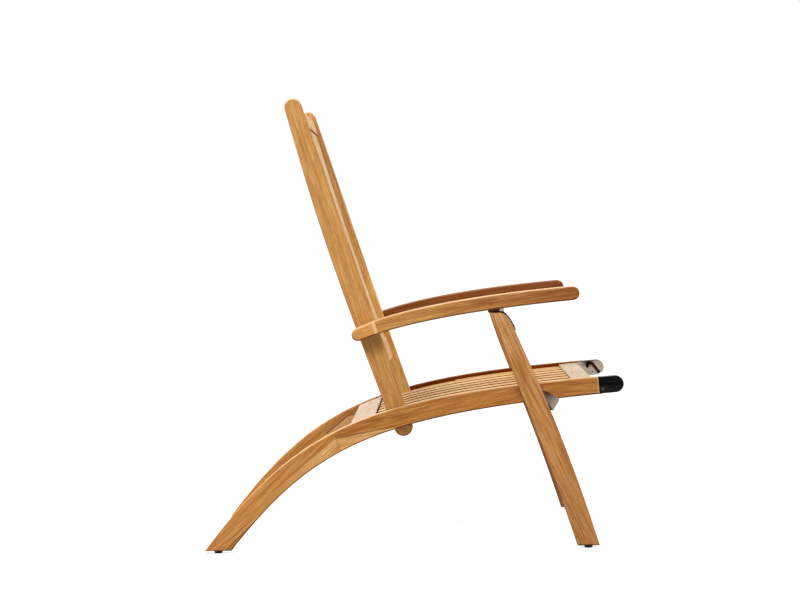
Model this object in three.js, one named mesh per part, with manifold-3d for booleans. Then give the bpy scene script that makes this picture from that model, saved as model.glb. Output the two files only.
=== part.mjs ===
// Folding teak armchair: a curved seat frame whose rails run down into the rear feet,
// a slatted back that folds forward, and front legs hinged under long curved armrests.
// Millimetres. X points to the front of the chair, Y to the sitter's left, Z up.
import * as THREE from 'three';
import { mergeVertices } from 'three/addons/utils/BufferGeometryUtils.js';
import Module from 'manifold-3d';

const wasm = await Module();
wasm.setup();

// Clearances
const seatGap = 0.3;
const boltGap = 0.3;
const pivotGap = 1;
const overrun = 5;

// Widths across the chair
const chairWidth = 600;
const armWidth = 55;
const stileThickness = 24;
const railThickness = 24;
const legThickness = 24;
const legGap = 4;

// Seat rails: one curved board each, from the rear foot to the front hook
const railRun = 847;
const railRise = 347;
const railFootDepth = 47;
const railMiddleDepth = 47;
const railFrontDepth = 38;
const railHandleShares = [[0.236, 0.724], [0.417, 0.902]];
const footTail = 40;

// Pads under the four feet
const padHeight = 5;
const padRadius = 9;
const padStemRadius = 2.5;
const padStemLength = 12;

// Pivots: the back and the legs turn on the rails, the armrests join their upper ends
const backPivotX = 416;
const backPivotLift = 6.5;
const legPivotX = 688;
const legPivotDrop = 5.5;
const linkRun = 78;
const linkRise = 187.5;

// Back
const stileRun = 225.5;
const stileRise = 679;
const stileFootDrop = 32;
const stileFootDepth = 41.5;
const stileMiddleDepth = 56;
const stileTopDepth = 37;
const stileHandleShares = [[0.548, 0.5], [0.724, 0.699]];
const backRailThickness = 22;
const topRailHeight = 41;
const topRailInset = 20;
const topRailRecess = 7;
const topRailRound = 12;
const bottomRailHeight = 48;
const bottomRailRise = 126.5;
const bottomRailRecess = 10.5;
const backSlatCount = 6;
const backSlatGap = 11.4;
const backSlatThickness = 10;
const backSlatTongue = 10;
const backSlatForward = 3;

// Armrests
const armRun = 469;
const armTail = 15;
const armPivotLift = 4.5;
const armRearDepth = 28;
const armMiddleDepth = 31.5;
const armFrontDepth = 30;
const armHandleShares = [[0.1285, 0.33], [0.4157, 0.7533]];
const cheekThickness = 30;
const cheekStep = 3;

// Front legs
const legFootRun = 127;
const legHeadRun = 23;
const legFootDepth = 46;
const legMiddleDepth = 51;
const legTopDepth = 31.5;
const legHandleShares = [[0.471, 0.556], [0.767, 0.74]];
const legCornerRun = 15;
const legCornerDrop = 40;
const legRearRound = 3;

// Seat boards
const rearCrossrailX = 328;
const rearCrossrailWidth = 50;
const frontCrossrailX = 813;
const frontCrossrailWidth = 42.5;
const crossrailDrop = 3;
const crossrailThickness = 24;
const ledgeLength = 10;
const seatSlatCount = 6;
const outerSeatSlatWidth = 36.7;
const seatSlatGap = 20;
const seatSlatDrop = 8;
const seatSlatThickness = 12;
const stileSlotGap = 1.5;
const stileSlotRun = 120;
const bearerX = 590;
const bearerWidth = 30;
const bearerThickness = 15;
const tenonLength = 15;
const tenonShoulder = 5;
const slatEndGap = 0.6;

// Bolts that the boards turn on, with a wood plug over each head
const boltRadius = 3.5;
const boltHeadRadius = 5.5;
const boltHeadLength = 4;
const boltGrip = 16;
const boltRecess = 1;
const plugRadius = 6;
const plugLength = 5;
const washerRadius = 9;

// Hook fitting at the front of each rail
const hookLength = 54;
const hookCollar = 3;
const hookCollarStep = 0.8;
const hookEndRadius = 18;
const hookTongueLength = 13;
const hookTongueThickness = 8;
const hookTongueDepth = 22;
const hookWall = 7;
const hookDishRim = 4.5;
const hookDishDepth = 0.8;
const plateThickness = 2;
const plateTail = 11;
const plateRim = 1;
const slotWidth = 8;
const slotRadius = 7;
const slotEndX = 14.5;
const slotEndLift = 5;
const slotMouthX = 45;
const hookScrewX = 26.5;
const hookScrewDrop = 9.5;
const hookScrewRadius = 4;
const hookScrewShankRadius = 2;
const hookScrewLength = 3;
const hookScrewSocketRadius = 1.4;
const hookScrewSocketDepth = 1.2;

// Stop bracket on the rail and its rubber buffer
const bracketThickness = 2;
const bracketGap = 3.5;
const bracketReach = 34;
const bracketTop = 10;
const bracketBottom = 35;
const bracketTipTop = 7;
const bracketTipBottom = 12;
const bracketTail = 22;
const flangeLength = 17;
const flangeWidth = 20;
const bufferRadius = 5;

// Hinge between each leg and its armrest
const hingeWidth = 20;
const strapThickness = 2.5;
const leafLength = 32;
const hingeKnuckles = 3;
const hingeBarrelRadius = 2.6;
const hingePinRadius = 1.3;
const hingePinGap = 0.3;

// Edge rounding
const boardEase = 3;
const slatEase = 1.6;
const smallEase = 0.8;
const roundSides = 16;
const endSteps = 10;
const cornerSteps = 6;
const curveSteps = 20;
const slatSteps = 8;
const ledgeSteps = 3;

const point = (x, z) => new THREE.Vector2(x, z);

// Finishes
const teak = new THREE.MeshStandardMaterial({ color: 0xbe8750, roughness: 0.6, metalness: 0 });
const paleTeak = new THREE.MeshStandardMaterial({ color: 0xd9a767, roughness: 0.6, metalness: 0 });
const steel = new THREE.MeshStandardMaterial({ color: 0xa8a39b, roughness: 0.35, metalness: 1 });
const darkSteel = new THREE.MeshStandardMaterial({ color: 0x3a2c26, roughness: 0.4, metalness: 1 });
const blackPlastic = new THREE.MeshStandardMaterial({ color: 0x0d0c0d, roughness: 0.25, metalness: 0 });
const blackRubber = new THREE.MeshStandardMaterial({ color: 0x151412, roughness: 0.85, metalness: 0 });

// Solids: closed meshes joined and cut with manifold
function toSolid(geometry) {
  const bare = geometry.clone();
  bare.deleteAttribute('normal');
  bare.deleteAttribute('uv');
  const merged = mergeVertices(bare, 1e-4);
  return new wasm.Manifold(new wasm.Mesh({
    numProp: 3,
    vertProperties: new Float32Array(merged.attributes.position.array),
    triVerts: new Uint32Array(merged.index.array),
  }));
}

function toGeometry(solid) {
  const mesh = solid.getMesh();
  const geometry = new THREE.BufferGeometry();
  geometry.setAttribute('position', new THREE.BufferAttribute(new Float32Array(mesh.vertProperties), 3));
  geometry.setIndex(new THREE.BufferAttribute(new Uint32Array(mesh.triVerts), 1));
  geometry.computeVertexNormals();
  return geometry;
}

function cut(geometry, tools) {
  return toGeometry(tools.reduce((solid, tool) => solid.subtract(toSolid(tool)), toSolid(geometry)));
}

function join(geometry, others) {
  return toGeometry(others.reduce((solid, other) => solid.add(toSolid(other)), toSolid(geometry)));
}

// Shapes: every board is a side view in X and Z, extruded across the chair
function plank(outline, width, ease, easeSteps = 1) {
  const geometry = new THREE.ExtrudeGeometry(new THREE.Shape(outline), {
    depth: width - 2 * ease,
    bevelEnabled: ease > 0,
    bevelThickness: ease,
    bevelSize: ease,
    bevelOffset: -ease,
    bevelSegments: easeSteps,
  });
  geometry.translate(0, 0, ease - width / 2);
  return geometry.rotateX(Math.PI / 2);
}

// A plank that runs from one Y to another instead of sitting about Y zero
function plankBetween(outline, yFrom, yTo, ease) {
  return plank(outline, Math.abs(yTo - yFrom), ease).translate(0, (yFrom + yTo) / 2, 0);
}

// A round bar along Y, between two Y positions
function bar(centre, radius, yFrom, yTo) {
  const geometry = new THREE.CylinderGeometry(radius, radius, Math.abs(yTo - yFrom), roundSides);
  return geometry.translate(centre.x, (yFrom + yTo) / 2, centre.y);
}

// Halves the range until the value sought is found; the function must cross zero once
function solve(miss, low, high) {
  const rising = miss(high) > miss(low);
  for (let i = 0; i < 40; i += 1) {
    const middle = (low + high) / 2;
    if (miss(middle) > 0 === rising) high = middle;
    else low = middle;
  }
  return (low + high) / 2;
}

// A curved board: a cubic centre line and a depth that changes smoothly along it
function makeBoard(start, end, handleShares, depths) {
  const along = ([xShare, zShare]) => point(
    start.x + (end.x - start.x) * xShare,
    start.y + (end.y - start.y) * zShare,
  );
  const line = new THREE.CubicBezierCurve(start, along(handleShares[0]), along(handleShares[1]), end);
  return { line, depths };
}

function depthAt({ depths: [first, middle, last] }, t) {
  const s = Math.min(Math.max(t, 0), 1);
  return first * (1 - s) ** 2 + 2 * middle * s * (1 - s) + last * s ** 2;
}

// The board's own directions at t: along it and square to it, to its left
function directionAt(board, t) {
  return board.line.getTangent(Math.min(Math.max(t, 0), 1));
}

function squareTo(direction) {
  return point(-direction.y, direction.x);
}

// A point beside the centre line; before 0 and past 1 the line runs on straight
function pointAt(board, t, offset) {
  const s = Math.min(Math.max(t, 0), 1);
  const direction = directionAt(board, t);
  return board.line.getPoint(s)
    .addScaledVector(direction, (t - s) * board.line.getLength())
    .addScaledVector(squareTo(direction), offset);
}

// A point on the left or right edge of the board
function edgeAt(board, t, side, inset = 0) {
  return pointAt(board, t, side * (depthAt(board, t) / 2 - inset));
}

function edgePoints(board, side, from, to, steps = curveSteps) {
  return Array.from({ length: steps + 1 }, (_, i) => (
    edgeAt(board, from + ((to - from) * i) / steps, side)
  ));
}

// A strip that follows the board between two depths below its left edge
function stripOutline(board, from, to, topInset, thickness, steps) {
  const row = (inset) => Array.from({ length: steps + 1 }, (_, i) => (
    edgeAt(board, from + ((to - from) * i) / steps, 1, inset)
  ));
  return [...row(topInset + thickness), ...row(topInset).reverse()];
}

function tWhereX(board, x, offset = 0) {
  return solve((t) => pointAt(board, t, offset).x - x, 0, 1);
}

function tWhereZ(board, z, side) {
  return solve((t) => edgeAt(board, t, side).y - z, 0, 1);
}

// Keeps the part of an outline on the left of a line through origin along direction, and
// drops the corners that would crowd the two new ones
function clip(outline, origin, direction) {
  const square = squareTo(direction);
  const height = (p) => p.clone().sub(origin).dot(square);
  const crossings = outline.flatMap((p, i) => {
    const next = outline[(i + 1) % outline.length];
    const here = height(p);
    const there = height(next);
    return here * there < 0 ? [{ after: i, at: p.clone().lerp(next, here / (here - there)) }] : [];
  });
  return outline.flatMap((p, i) => {
    const roomy = crossings.every(({ at }) => at.distanceTo(p) > 2 * boardEase);
    const own = height(p) >= 0 && roomy ? [p] : [];
    return [...own, ...crossings.filter(({ after }) => after === i).map(({ at }) => at)];
  });
}

function roundEnd(centre, radius, from, to, steps = endSteps) {
  return Array.from({ length: steps + 1 }, (_, i) => {
    const angle = from + ((to - from) * i) / steps;
    return point(centre.x + radius * Math.cos(angle), centre.y + radius * Math.sin(angle));
  });
}

// A rectangle about an origin, along a direction, from its lower to its upper corner
function rectangle(origin, direction, low, high) {
  const square = squareTo(direction);
  const corner = (along, across) => origin.clone()
    .addScaledVector(direction, along)
    .addScaledVector(square, across);
  return [
    corner(low[0], low[1]),
    corner(high[0], low[1]),
    corner(high[0], high[1]),
    corner(low[0], high[1]),
  ];
}

// Where the boards stand across the chair, as distances from its middle
const armInner = chairWidth / 2 - armWidth;
const railInner = armInner;
const railOuter = railInner + railThickness;
const railMiddle = (railInner + railOuter) / 2;
const stileOuter = armInner - pivotGap;
const stileInner = stileOuter - stileThickness;
const stileMiddle = (stileInner + stileOuter) / 2;
const legInner = railOuter + legGap;
const legOuter = legInner + legThickness;
const legMiddle = (legInner + legOuter) / 2;
const woodFloor = padHeight + seatGap;
const sides = { right: -1, left: 1 };
const level = point(1, 0);

// The four boards that the chair hangs together by
const rail = makeBoard(
  point(0, padHeight),
  point(railRun, padHeight + railRise),
  railHandleShares,
  [railFootDepth, railMiddleDepth, railFrontDepth],
);
const backPivot = point(backPivotX, pointAt(rail, tWhereX(rail, backPivotX), 0).y + backPivotLift);
const legPivot = point(legPivotX, pointAt(rail, tWhereX(rail, legPivotX), 0).y - legPivotDrop);
const link = point(-linkRun, linkRise);
const armPivot = backPivot.clone().add(link);
const armHinge = legPivot.clone().add(link);

const stile = makeBoard(
  point(backPivot.x, backPivot.y - stileFootDrop),
  point(backPivot.x - stileRun, backPivot.y + stileRise),
  stileHandleShares,
  [stileFootDepth, stileMiddleDepth, stileTopDepth],
);

const legTop = armHinge.y - hingeBarrelRadius - seatGap;
const leg = makeBoard(
  point(legPivot.x + legFootRun, padHeight),
  point(armHinge.x + legHeadRun, legTop),
  legHandleShares,
  [legFootDepth, legMiddleDepth, legTopDepth],
);

// The armrest passes its pivot at a set lift and rests on the hinge: its slope follows from both
function makeArm(startZ, rise) {
  const startX = armPivot.x - armTail;
  return makeBoard(
    point(startX, startZ),
    point(startX + armRun, startZ + rise),
    armHandleShares,
    [armRearDepth, armMiddleDepth, armFrontDepth],
  );
}

function fitArm() {
  const missAtPivot = (board) => (
    pointAt(board, tWhereX(board, armPivot.x), 0).y - (armPivot.y - armPivotLift)
  );
  const missAtHinge = (board) => {
    const t = solve((s) => edgeAt(board, s, -1).x - armHinge.x, 0, 1);
    return edgeAt(board, t, -1).y - (armHinge.y + hingeBarrelRadius + seatGap);
  };
  let startZ = armPivot.y;
  let rise = armHinge.y - armPivot.y;
  for (let i = 0; i < 30; i += 1) {
    startZ -= missAtPivot(makeArm(startZ, rise));
    rise -= missAtHinge(makeArm(startZ, rise));
  }
  return makeArm(startZ, rise);
}

const arm = fitArm();

const group = new THREE.Group();

function add(parent, name, geometry, material) {
  const mesh = new THREE.Mesh(geometry, material);
  mesh.name = name;
  mesh.position.set(-parent.position.x, 0, -parent.position.z);
  parent.add(mesh);
}

// A group whose origin lies on a pivot, so that turning it folds what it holds
function pivotGroup(pivot) {
  const pivoted = new THREE.Group();
  pivoted.position.set(pivot.x, 0, pivot.y);
  group.add(pivoted);
  return pivoted;
}

// Tenons and mortises share one outline; the mortise is wider by the seat gap
function tenonOutline({ origin, direction, low, high }, grow) {
  const inset = tenonShoulder - grow;
  const tenonLow = [low[0] + inset, low[1] + inset];
  return rectangle(origin, direction, tenonLow, [high[0] - inset, high[1] - inset]);
}

// A cross member between two boards: a body and a tenon at each end
function crossMember(member, outline, faceY) {
  const body = plank(outline, 2 * (faceY - seatGap), slatEase);
  const tenons = plank(tenonOutline(member, 0), 2 * (faceY + tenonLength), 0);
  return join(body, [tenons]);
}

function memberOutline({ origin, direction, low, high }) {
  return rectangle(origin, direction, low, high);
}

function mortise(member, side, faceY) {
  const outline = tenonOutline(member, seatGap);
  return plankBetween(outline, side * (faceY - overrun), side * (faceY + tenonLength + seatGap), 0);
}

// Seat cross members, each in the directions of the rail where it stands. The ledge that the
// slat ends lie on reaches beyond the width that shows: +1 has it ahead, -1 behind, 0 nowhere.
function seatMember(x, width, drop, thickness, ledgeSide) {
  const t = tWhereX(rail, x);
  const behind = ledgeSide < 0 ? ledgeLength : 0;
  const ahead = ledgeSide > 0 ? ledgeLength : 0;
  return {
    ledgeSide,
    origin: edgeAt(rail, t, 1),
    direction: directionAt(rail, t),
    low: [-width / 2 - behind, -drop - thickness],
    high: [width / 2 + ahead, -drop],
  };
}

const rearCrossrail = seatMember(
  rearCrossrailX,
  rearCrossrailWidth,
  crossrailDrop,
  crossrailThickness,
  1,
);
const frontCrossrail = seatMember(
  frontCrossrailX,
  frontCrossrailWidth,
  crossrailDrop,
  crossrailThickness,
  -1,
);
const bearer = seatMember(
  bearerX,
  bearerWidth,
  seatSlatDrop + seatSlatThickness + seatGap,
  bearerThickness,
  0,
);

// Back cross members, in the directions of the stile: along it is up, its right is the front
function backMember(rise, height, recess) {
  const t = solve((s) => pointAt(stile, s, 0).distanceTo(stile.line.getPoint(0)) - rise, 0, 1);
  const front = depthAt(stile, t) / 2 - recess;
  return {
    origin: pointAt(stile, t, 0),
    direction: directionAt(stile, t),
    low: [-height / 2, -front],
    high: [height / 2, backRailThickness - front],
  };
}

const stileReach = stile.line.getPoint(0).distanceTo(stile.line.getPoint(1));
const topRailTop = stileReach + stileTopDepth / 2 - topRailInset;
const topRail = backMember(topRailTop - topRailHeight / 2, topRailHeight, topRailRecess);
const bottomRail = backMember(bottomRailRise + stileFootDrop, bottomRailHeight, bottomRailRecess);

// The hook fitting is set out from the rail's front end
const hookOrigin = pointAt(rail, 1, 0);
const hookDirection = directionAt(rail, 1);
const hookPoint = (along, up) => hookOrigin.clone()
  .addScaledVector(hookDirection, along)
  .addScaledVector(squareTo(hookDirection), up);

function railOutline() {
  const tail = footTail / rail.line.getLength();
  const whole = [
    ...edgePoints(rail, -1, -tail, 1, curveSteps + 4),
    ...edgePoints(rail, 1, 1, -tail, curveSteps + 4),
  ];
  return clip(whole, point(0, woodFloor), level);
}

function footPad(x, y) {
  const profile = [
    point(0, 0),
    point(padRadius - smallEase, 0),
    point(padRadius, smallEase),
    point(padRadius, padHeight),
    point(padStemRadius, padHeight),
    point(padStemRadius, padHeight + padStemLength),
    point(0, padHeight + padStemLength),
  ];
  return new THREE.LatheGeometry(profile, roundSides).rotateX(Math.PI / 2).translate(x, y, 0);
}

function padHole(x, y) {
  const depth = padStemLength + seatGap;
  const hole = new THREE.CylinderGeometry(
    padStemRadius + seatGap,
    padStemRadius + seatGap,
    depth + overrun,
    roundSides,
  );
  return hole.rotateX(Math.PI / 2).translate(x, y, padHeight + (depth - overrun) / 2);
}

// Where the pads stand: under the middle of each foot's flat end
const middleOf = (a, b) => (a + b) / 2;

function footMiddle(outline) {
  const flat = outline.filter((p) => Math.abs(p.y - woodFloor) < seatGap).map((p) => p.x);
  return middleOf(Math.min(...flat), Math.max(...flat));
}

const rearPadX = footMiddle(railOutline());

function makeRail(side) {
  const board = plank(railOutline(), railThickness, boardEase, 2).translate(0, side * railMiddle, 0);
  const blindEnd = railInner + boltGrip + boltGap;
  const tongueHole = rectangle(
    hookOrigin,
    hookDirection,
    [-hookTongueLength - seatGap, -hookTongueDepth / 2 - seatGap],
    [overrun, hookTongueDepth / 2 + seatGap],
  );
  const plateBed = rectangle(
    hookOrigin,
    hookDirection,
    [-plateTail - seatGap, -railFrontDepth],
    [overrun, railFrontDepth],
  );
  const tongueHalf = hookTongueThickness / 2 + seatGap;
  const legBoltEnd = railOuter - boltGrip - boltGap;
  const plateBack = railInner + plateThickness + seatGap;
  return cut(board, [
    mortise(rearCrossrail, side, railInner),
    mortise(frontCrossrail, side, railInner),
    mortise(bearer, side, railInner),
    bar(backPivot, boltRadius + boltGap, side * (railInner - overrun), side * blindEnd),
    bar(legPivot, boltRadius + boltGap, side * (railOuter + overrun), side * legBoltEnd),
    plankBetween(
      tongueHole,
      side * (hookTongueMiddle - tongueHalf),
      side * (hookTongueMiddle + tongueHalf),
      0,
    ),
    plankBetween(plateBed, side * (railInner - overrun), side * plateBack, 0),
    padHole(rearPadX, side * railMiddle),
  ]);
}

// The tongue of the black cap sits in the thickness that the inner plate leaves
const hookTongueMiddle = middleOf(railInner + plateThickness, railOuter);

// A seat crossrail, with room cut over its ledge for the slat ends
function makeSeatCrossrail(member) {
  const { low, high, ledgeSide } = member;
  const ledgeEnd = ledgeSide > 0 ? high[0] : low[0];
  const shoulder = seatT(member, ledgeEnd - ledgeLength * ledgeSide);
  const past = seatT(member, ledgeEnd + overrun * ledgeSide);
  const room = overrun + seatSlatThickness + seatGap;
  const above = stripOutline(rail, shoulder, past, seatSlatDrop - overrun, room, ledgeSteps);
  const body = crossMember(member, memberOutline(member), railInner);
  return cut(body, [plank(ledgeSide > 0 ? above : above.reverse(), 2 * railInner, 0)]);
}

// Where along the rail a distance from the middle of a cross member falls
function seatT(member, reach) {
  const miss = (t) => edgeAt(rail, t, 1, seatSlatDrop).sub(member.origin).dot(member.direction) - reach;
  return solve(miss, 0, 1);
}

const seatSlatStart = seatT(rearCrossrail, rearCrossrail.high[0] - ledgeLength + slatEndGap);
const seatSlatFinish = seatT(frontCrossrail, frontCrossrail.low[0] + ledgeLength - slatEndGap);
const seatSlatRoom = 2 * (railInner - seatGap - outerSeatSlatWidth);
const seatSlatPitch = (seatSlatRoom - seatSlatGap) / seatSlatCount;
const seatSlatWidth = seatSlatPitch - seatSlatGap;

function seatSlatOutline() {
  return stripOutline(rail, seatSlatStart, seatSlatFinish, seatSlatDrop, seatSlatThickness, slatSteps);
}

function makeSeatSlat(index) {
  const y = (index - (seatSlatCount - 1) / 2) * seatSlatPitch;
  return plank(seatSlatOutline(), seatSlatWidth, slatEase).translate(0, y, 0);
}

// The outer slats reach the rails, but for a slot that the stiles pass through and fold into
function makeOuterSlat(side) {
  const outer = railInner - seatGap;
  const inner = outer - outerSeatSlatWidth;
  const slat = plankBetween(seatSlatOutline(), side * inner, side * outer, slatEase);
  const slot = rectangle(
    point(backPivot.x, backPivot.y),
    level,
    [-stileRun, -linkRise],
    [stileSlotRun, linkRise],
  );
  return cut(slat, [plankBetween(slot, side * (stileInner - stileSlotGap), side * (outer + overrun), 0)]);
}

// Pivot bolts and their wood plugs. The head side is where the bolt goes in.
function makeBolt(centre, headY, gripY, recess = plugLength + seatGap) {
  const inward = Math.sign(gripY - headY);
  const headFrom = headY + inward * recess;
  const headTo = headFrom + inward * boltHeadLength;
  return join(bar(centre, boltHeadRadius, headFrom, headTo), [
    bar(centre, boltRadius, headTo - (inward * boltHeadLength) / 2, gripY),
  ]);
}

// The back's bolts are put in from inside the seat and stay uncovered
function makeBackPivotBolt(side) {
  return makeBolt(backPivot, side * stileInner, side * (railInner + boltGrip), boltRecess);
}

function makeLegPivotBolt(side) {
  return makeBolt(legPivot, side * legOuter, side * (railOuter - boltGrip));
}

function makeArmPivotBolt(side) {
  return makeBolt(armPivot, side * (chairWidth / 2), side * (stileOuter - boltGrip));
}

function boltHole(centre, headY, endY, recess = plugLength + seatGap, width = plugRadius) {
  const inward = Math.sign(endY - headY);
  const counterbore = recess + boltHeadLength + seatGap;
  return [
    bar(centre, width + seatGap, headY - inward * overrun, headY + inward * counterbore),
    bar(centre, boltRadius + boltGap, headY, endY + inward * overrun),
  ];
}

function makePlug(centre, headY, inward) {
  return bar(centre, plugRadius, headY + inward * seatGap, headY + inward * plugLength);
}

function makeWasher(side) {
  const outer = bar(legPivot, washerRadius, side * (railOuter + seatGap), side * (legInner - seatGap));
  return cut(outer, [bar(legPivot, boltRadius + boltGap, side * railMiddle, side * legMiddle)]);
}

// Back frame
function stileOutline() {
  const foot = stile.line.getPoint(0);
  const head = stile.line.getPoint(1);
  const footAngle = directionAt(stile, 0).angle();
  const headAngle = directionAt(stile, 1).angle();
  return [
    ...roundEnd(foot, stileFootDepth / 2, footAngle + Math.PI / 2, footAngle + (3 * Math.PI) / 2),
    ...edgePoints(stile, -1, 0, 1).slice(1, -1),
    ...roundEnd(head, stileTopDepth / 2, headAngle - Math.PI / 2, headAngle + Math.PI / 2),
    ...edgePoints(stile, 1, 1, 0).slice(1, -1),
  ];
}

function makeStile(side) {
  const board = plank(stileOutline(), stileThickness, boardEase, 2).translate(0, side * stileMiddle, 0);
  const armBoltEnd = stileOuter - boltGrip - boltGap;
  return cut(board, [
    mortise(topRail, side, stileInner),
    mortise(bottomRail, side, stileInner),
    ...boltHole(backPivot, side * stileInner, side * stileOuter, boltRecess, boltHeadRadius),
    bar(armPivot, boltRadius + boltGap, side * (stileOuter + overrun), side * armBoltEnd),
  ]);
}

// The top rail has a rounded upper edge that follows the stiles' round heads
function topRailOutline() {
  const { origin, direction, low, high } = topRail;
  const square = squareTo(direction);
  const corner = (along, across) => origin.clone()
    .addScaledVector(direction, along)
    .addScaledVector(square, across);
  const radius = Math.min(topRailRound, (high[1] - low[1]) / 2 - smallEase);
  const front = direction.angle() - Math.PI / 2;
  const top = front + Math.PI / 2;
  const rear = top + Math.PI / 2;
  return [
    corner(low[0], high[1]),
    corner(low[0], low[1]),
    ...roundEnd(corner(high[0] - radius, low[1] + radius), radius, front, top, cornerSteps),
    ...roundEnd(corner(high[0] - radius, high[1] - radius), radius, top, rear, cornerSteps),
  ];
}

// The faces of the back slats, as distances to the left of the stiles' centre line
const backSlatFront = -backSlatForward - backSlatThickness / 2;
const backSlatRear = backSlatThickness / 2 - backSlatForward;

// A groove in a back rail for the slat tongues; end is +1 for the rail's upper edge
function slatGroove(member, end) {
  const edge = member.high[0] * end;
  const along = [edge - (backSlatTongue + slatEndGap) * end, edge + overrun * end].sort((a, b) => a - b);
  const outline = rectangle(
    member.origin,
    member.direction,
    [along[0], backSlatFront - seatGap],
    [along[1], backSlatRear + seatGap],
  );
  return plank(outline, 2 * (stileInner - tenonShoulder), 0);
}

function makeBackRail(member, outline, end) {
  return cut(crossMember(member, outline, stileInner), [slatGroove(member, end)]);
}

// The back slats run from groove to groove along the stiles
function backSlatOutline() {
  const reach = (member, end) => solve(
    (t) => pointAt(stile, t, 0).sub(member.origin).dot(member.direction)
      - (member.high[0] - backSlatTongue) * end,
    0,
    1,
  );
  const from = reach(bottomRail, 1);
  const to = reach(topRail, -1);
  const row = (offset) => Array.from({ length: slatSteps + 1 }, (_, i) => (
    pointAt(stile, from + ((to - from) * i) / slatSteps, offset)
  ));
  return [...row(backSlatFront), ...row(backSlatRear).reverse()];
}

function makeBackSlat(index) {
  const pitch = (2 * stileInner - backSlatGap) / backSlatCount;
  const y = (index - (backSlatCount - 1) / 2) * pitch;
  return plank(backSlatOutline(), pitch - backSlatGap, slatEase).translate(0, y, 0);
}

// Armrests: a long board, lapped at the rear by a cheek that carries the pivot
function armOutline() {
  const rear = arm.line.getPoint(0);
  const tip = arm.line.getPoint(1);
  const rearAngle = directionAt(arm, 0).angle();
  const tipAngle = directionAt(arm, 1).angle();
  return [
    ...roundEnd(rear, armRearDepth / 2, rearAngle + Math.PI / 2, rearAngle + (3 * Math.PI) / 2),
    ...edgePoints(arm, -1, 0, 1).slice(1, -1),
    ...roundEnd(tip, armFrontDepth / 2, tipAngle - Math.PI / 2, tipAngle + Math.PI / 2),
    ...edgePoints(arm, 1, 1, 0).slice(1, -1),
  ];
}

// The cheek ends in line with the front edge of the stile behind it
const cheekLine = (() => {
  const t = solve((s) => edgeAt(stile, s, -1).y - armPivot.y, 0, 1);
  return { origin: edgeAt(stile, t, -1), direction: directionAt(stile, t) };
})();

function makeArmrest(side) {
  const width = armWidth - cheekStep;
  const outline = armOutline();
  const board = plank(outline, width, boardEase, 2).translate(0, side * (armInner + width / 2), 0);
  const lapFace = chairWidth / 2 - cheekThickness - seatGap;
  const lap = rectangle(
    cheekLine.origin,
    cheekLine.direction,
    [-armRun, -seatGap],
    [armRun, armRun],
  );
  return cut(board, [
    plankBetween(lap, side * lapFace, side * (chairWidth / 2 + overrun), 0),
    bar(armPivot, boltRadius + boltGap, side * (armInner - overrun), side * (chairWidth / 2)),
  ]);
}

function makeCheek(side) {
  const outer = side * (chairWidth / 2);
  const inner = outer - side * cheekThickness;
  const block = plankBetween(armOutline(), inner - side * 2 * boardEase, outer, boardEase);
  const ahead = rectangle(cheekLine.origin, cheekLine.direction, [-armRun, -armRun], [armRun, 0]);
  const behind = rectangle(armPivot, level, [-armRun, -armRun], [armRun, armRun]);
  return cut(block, [
    plankBetween(ahead, inner - side * armWidth, outer + side * overrun, 0),
    plankBetween(behind, inner, inner - side * armWidth, 0),
    ...boltHole(armPivot, outer, inner),
  ]);
}

// Front legs: flat on top, with the front corner swept down for the hinge strap
function legCorner() {
  const rearTop = edgeAt(leg, tWhereZ(leg, legTop, 1), 1);
  const frontT = tWhereZ(leg, legTop - legCornerDrop, -1);
  const front = edgeAt(leg, frontT, -1);
  const corner = edgeAt(leg, tWhereZ(leg, legTop, -1), -1);
  const flatEnd = point(corner.x - legCornerRun, legTop);
  const curve = new THREE.QuadraticBezierCurve(flatEnd, point(corner.x, legTop), front);
  return { rearTop, frontT, points: curve.getPoints(endSteps) };
}

const legHead = legCorner();

function legOutline() {
  const tail = footTail / leg.line.getLength();
  const whole = [
    ...edgePoints(leg, -1, -tail, legHead.frontT).slice(0, -1),
    ...[...legHead.points].reverse(),
    point(legHead.rearTop.x + legRearRound, legTop),
    ...edgePoints(leg, 1, tWhereZ(leg, legTop - legRearRound, 1), -tail),
  ];
  return clip(whole, point(0, woodFloor), level);
}

const frontPadX = footMiddle(legOutline());

function makeLeg(side) {
  const board = plank(legOutline(), legThickness, boardEase, 2).translate(0, side * legMiddle, 0);
  return cut(board, [
    ...boltHole(legPivot, side * legOuter, side * legInner),
    padHole(frontPadX, side * legMiddle),
  ]);
}

// Hinge: a strap over the leg's head and a leaf under the armrest share one pin
function offsetRow(points, distance) {
  return points.map((p, i) => {
    const before = points[Math.max(i - 1, 0)];
    const after = points[Math.min(i + 1, points.length - 1)];
    return p.clone().addScaledVector(squareTo(after.clone().sub(before).normalize()), distance);
  });
}

function makeStrap(side) {
  const top = [point(armHinge.x, legTop), ...legHead.points];
  const outline = [
    ...offsetRow(top, seatGap),
    ...offsetRow(top, seatGap + strapThickness).reverse(),
  ];
  const middle = side * legMiddle;
  const knuckle = hingeWidth / hingeKnuckles - hingePinGap;
  const strap = join(plank(outline, hingeWidth, 0).translate(0, middle, 0), [
    bar(armHinge, hingeBarrelRadius, middle - knuckle / 2, middle + knuckle / 2),
  ]);
  const clearance = hingeBarrelRadius + hingePinGap;
  const outerKnuckle = (end) => bar(
    armHinge,
    clearance,
    middle + end * (knuckle / 2),
    middle + end * (hingeWidth / 2 + overrun),
  );
  const pinHole = bar(armHinge, hingePinRadius + hingePinGap, middle - hingeWidth, middle + hingeWidth);
  return cut(strap, [outerKnuckle(1), outerKnuckle(-1), pinHole]);
}

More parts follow.
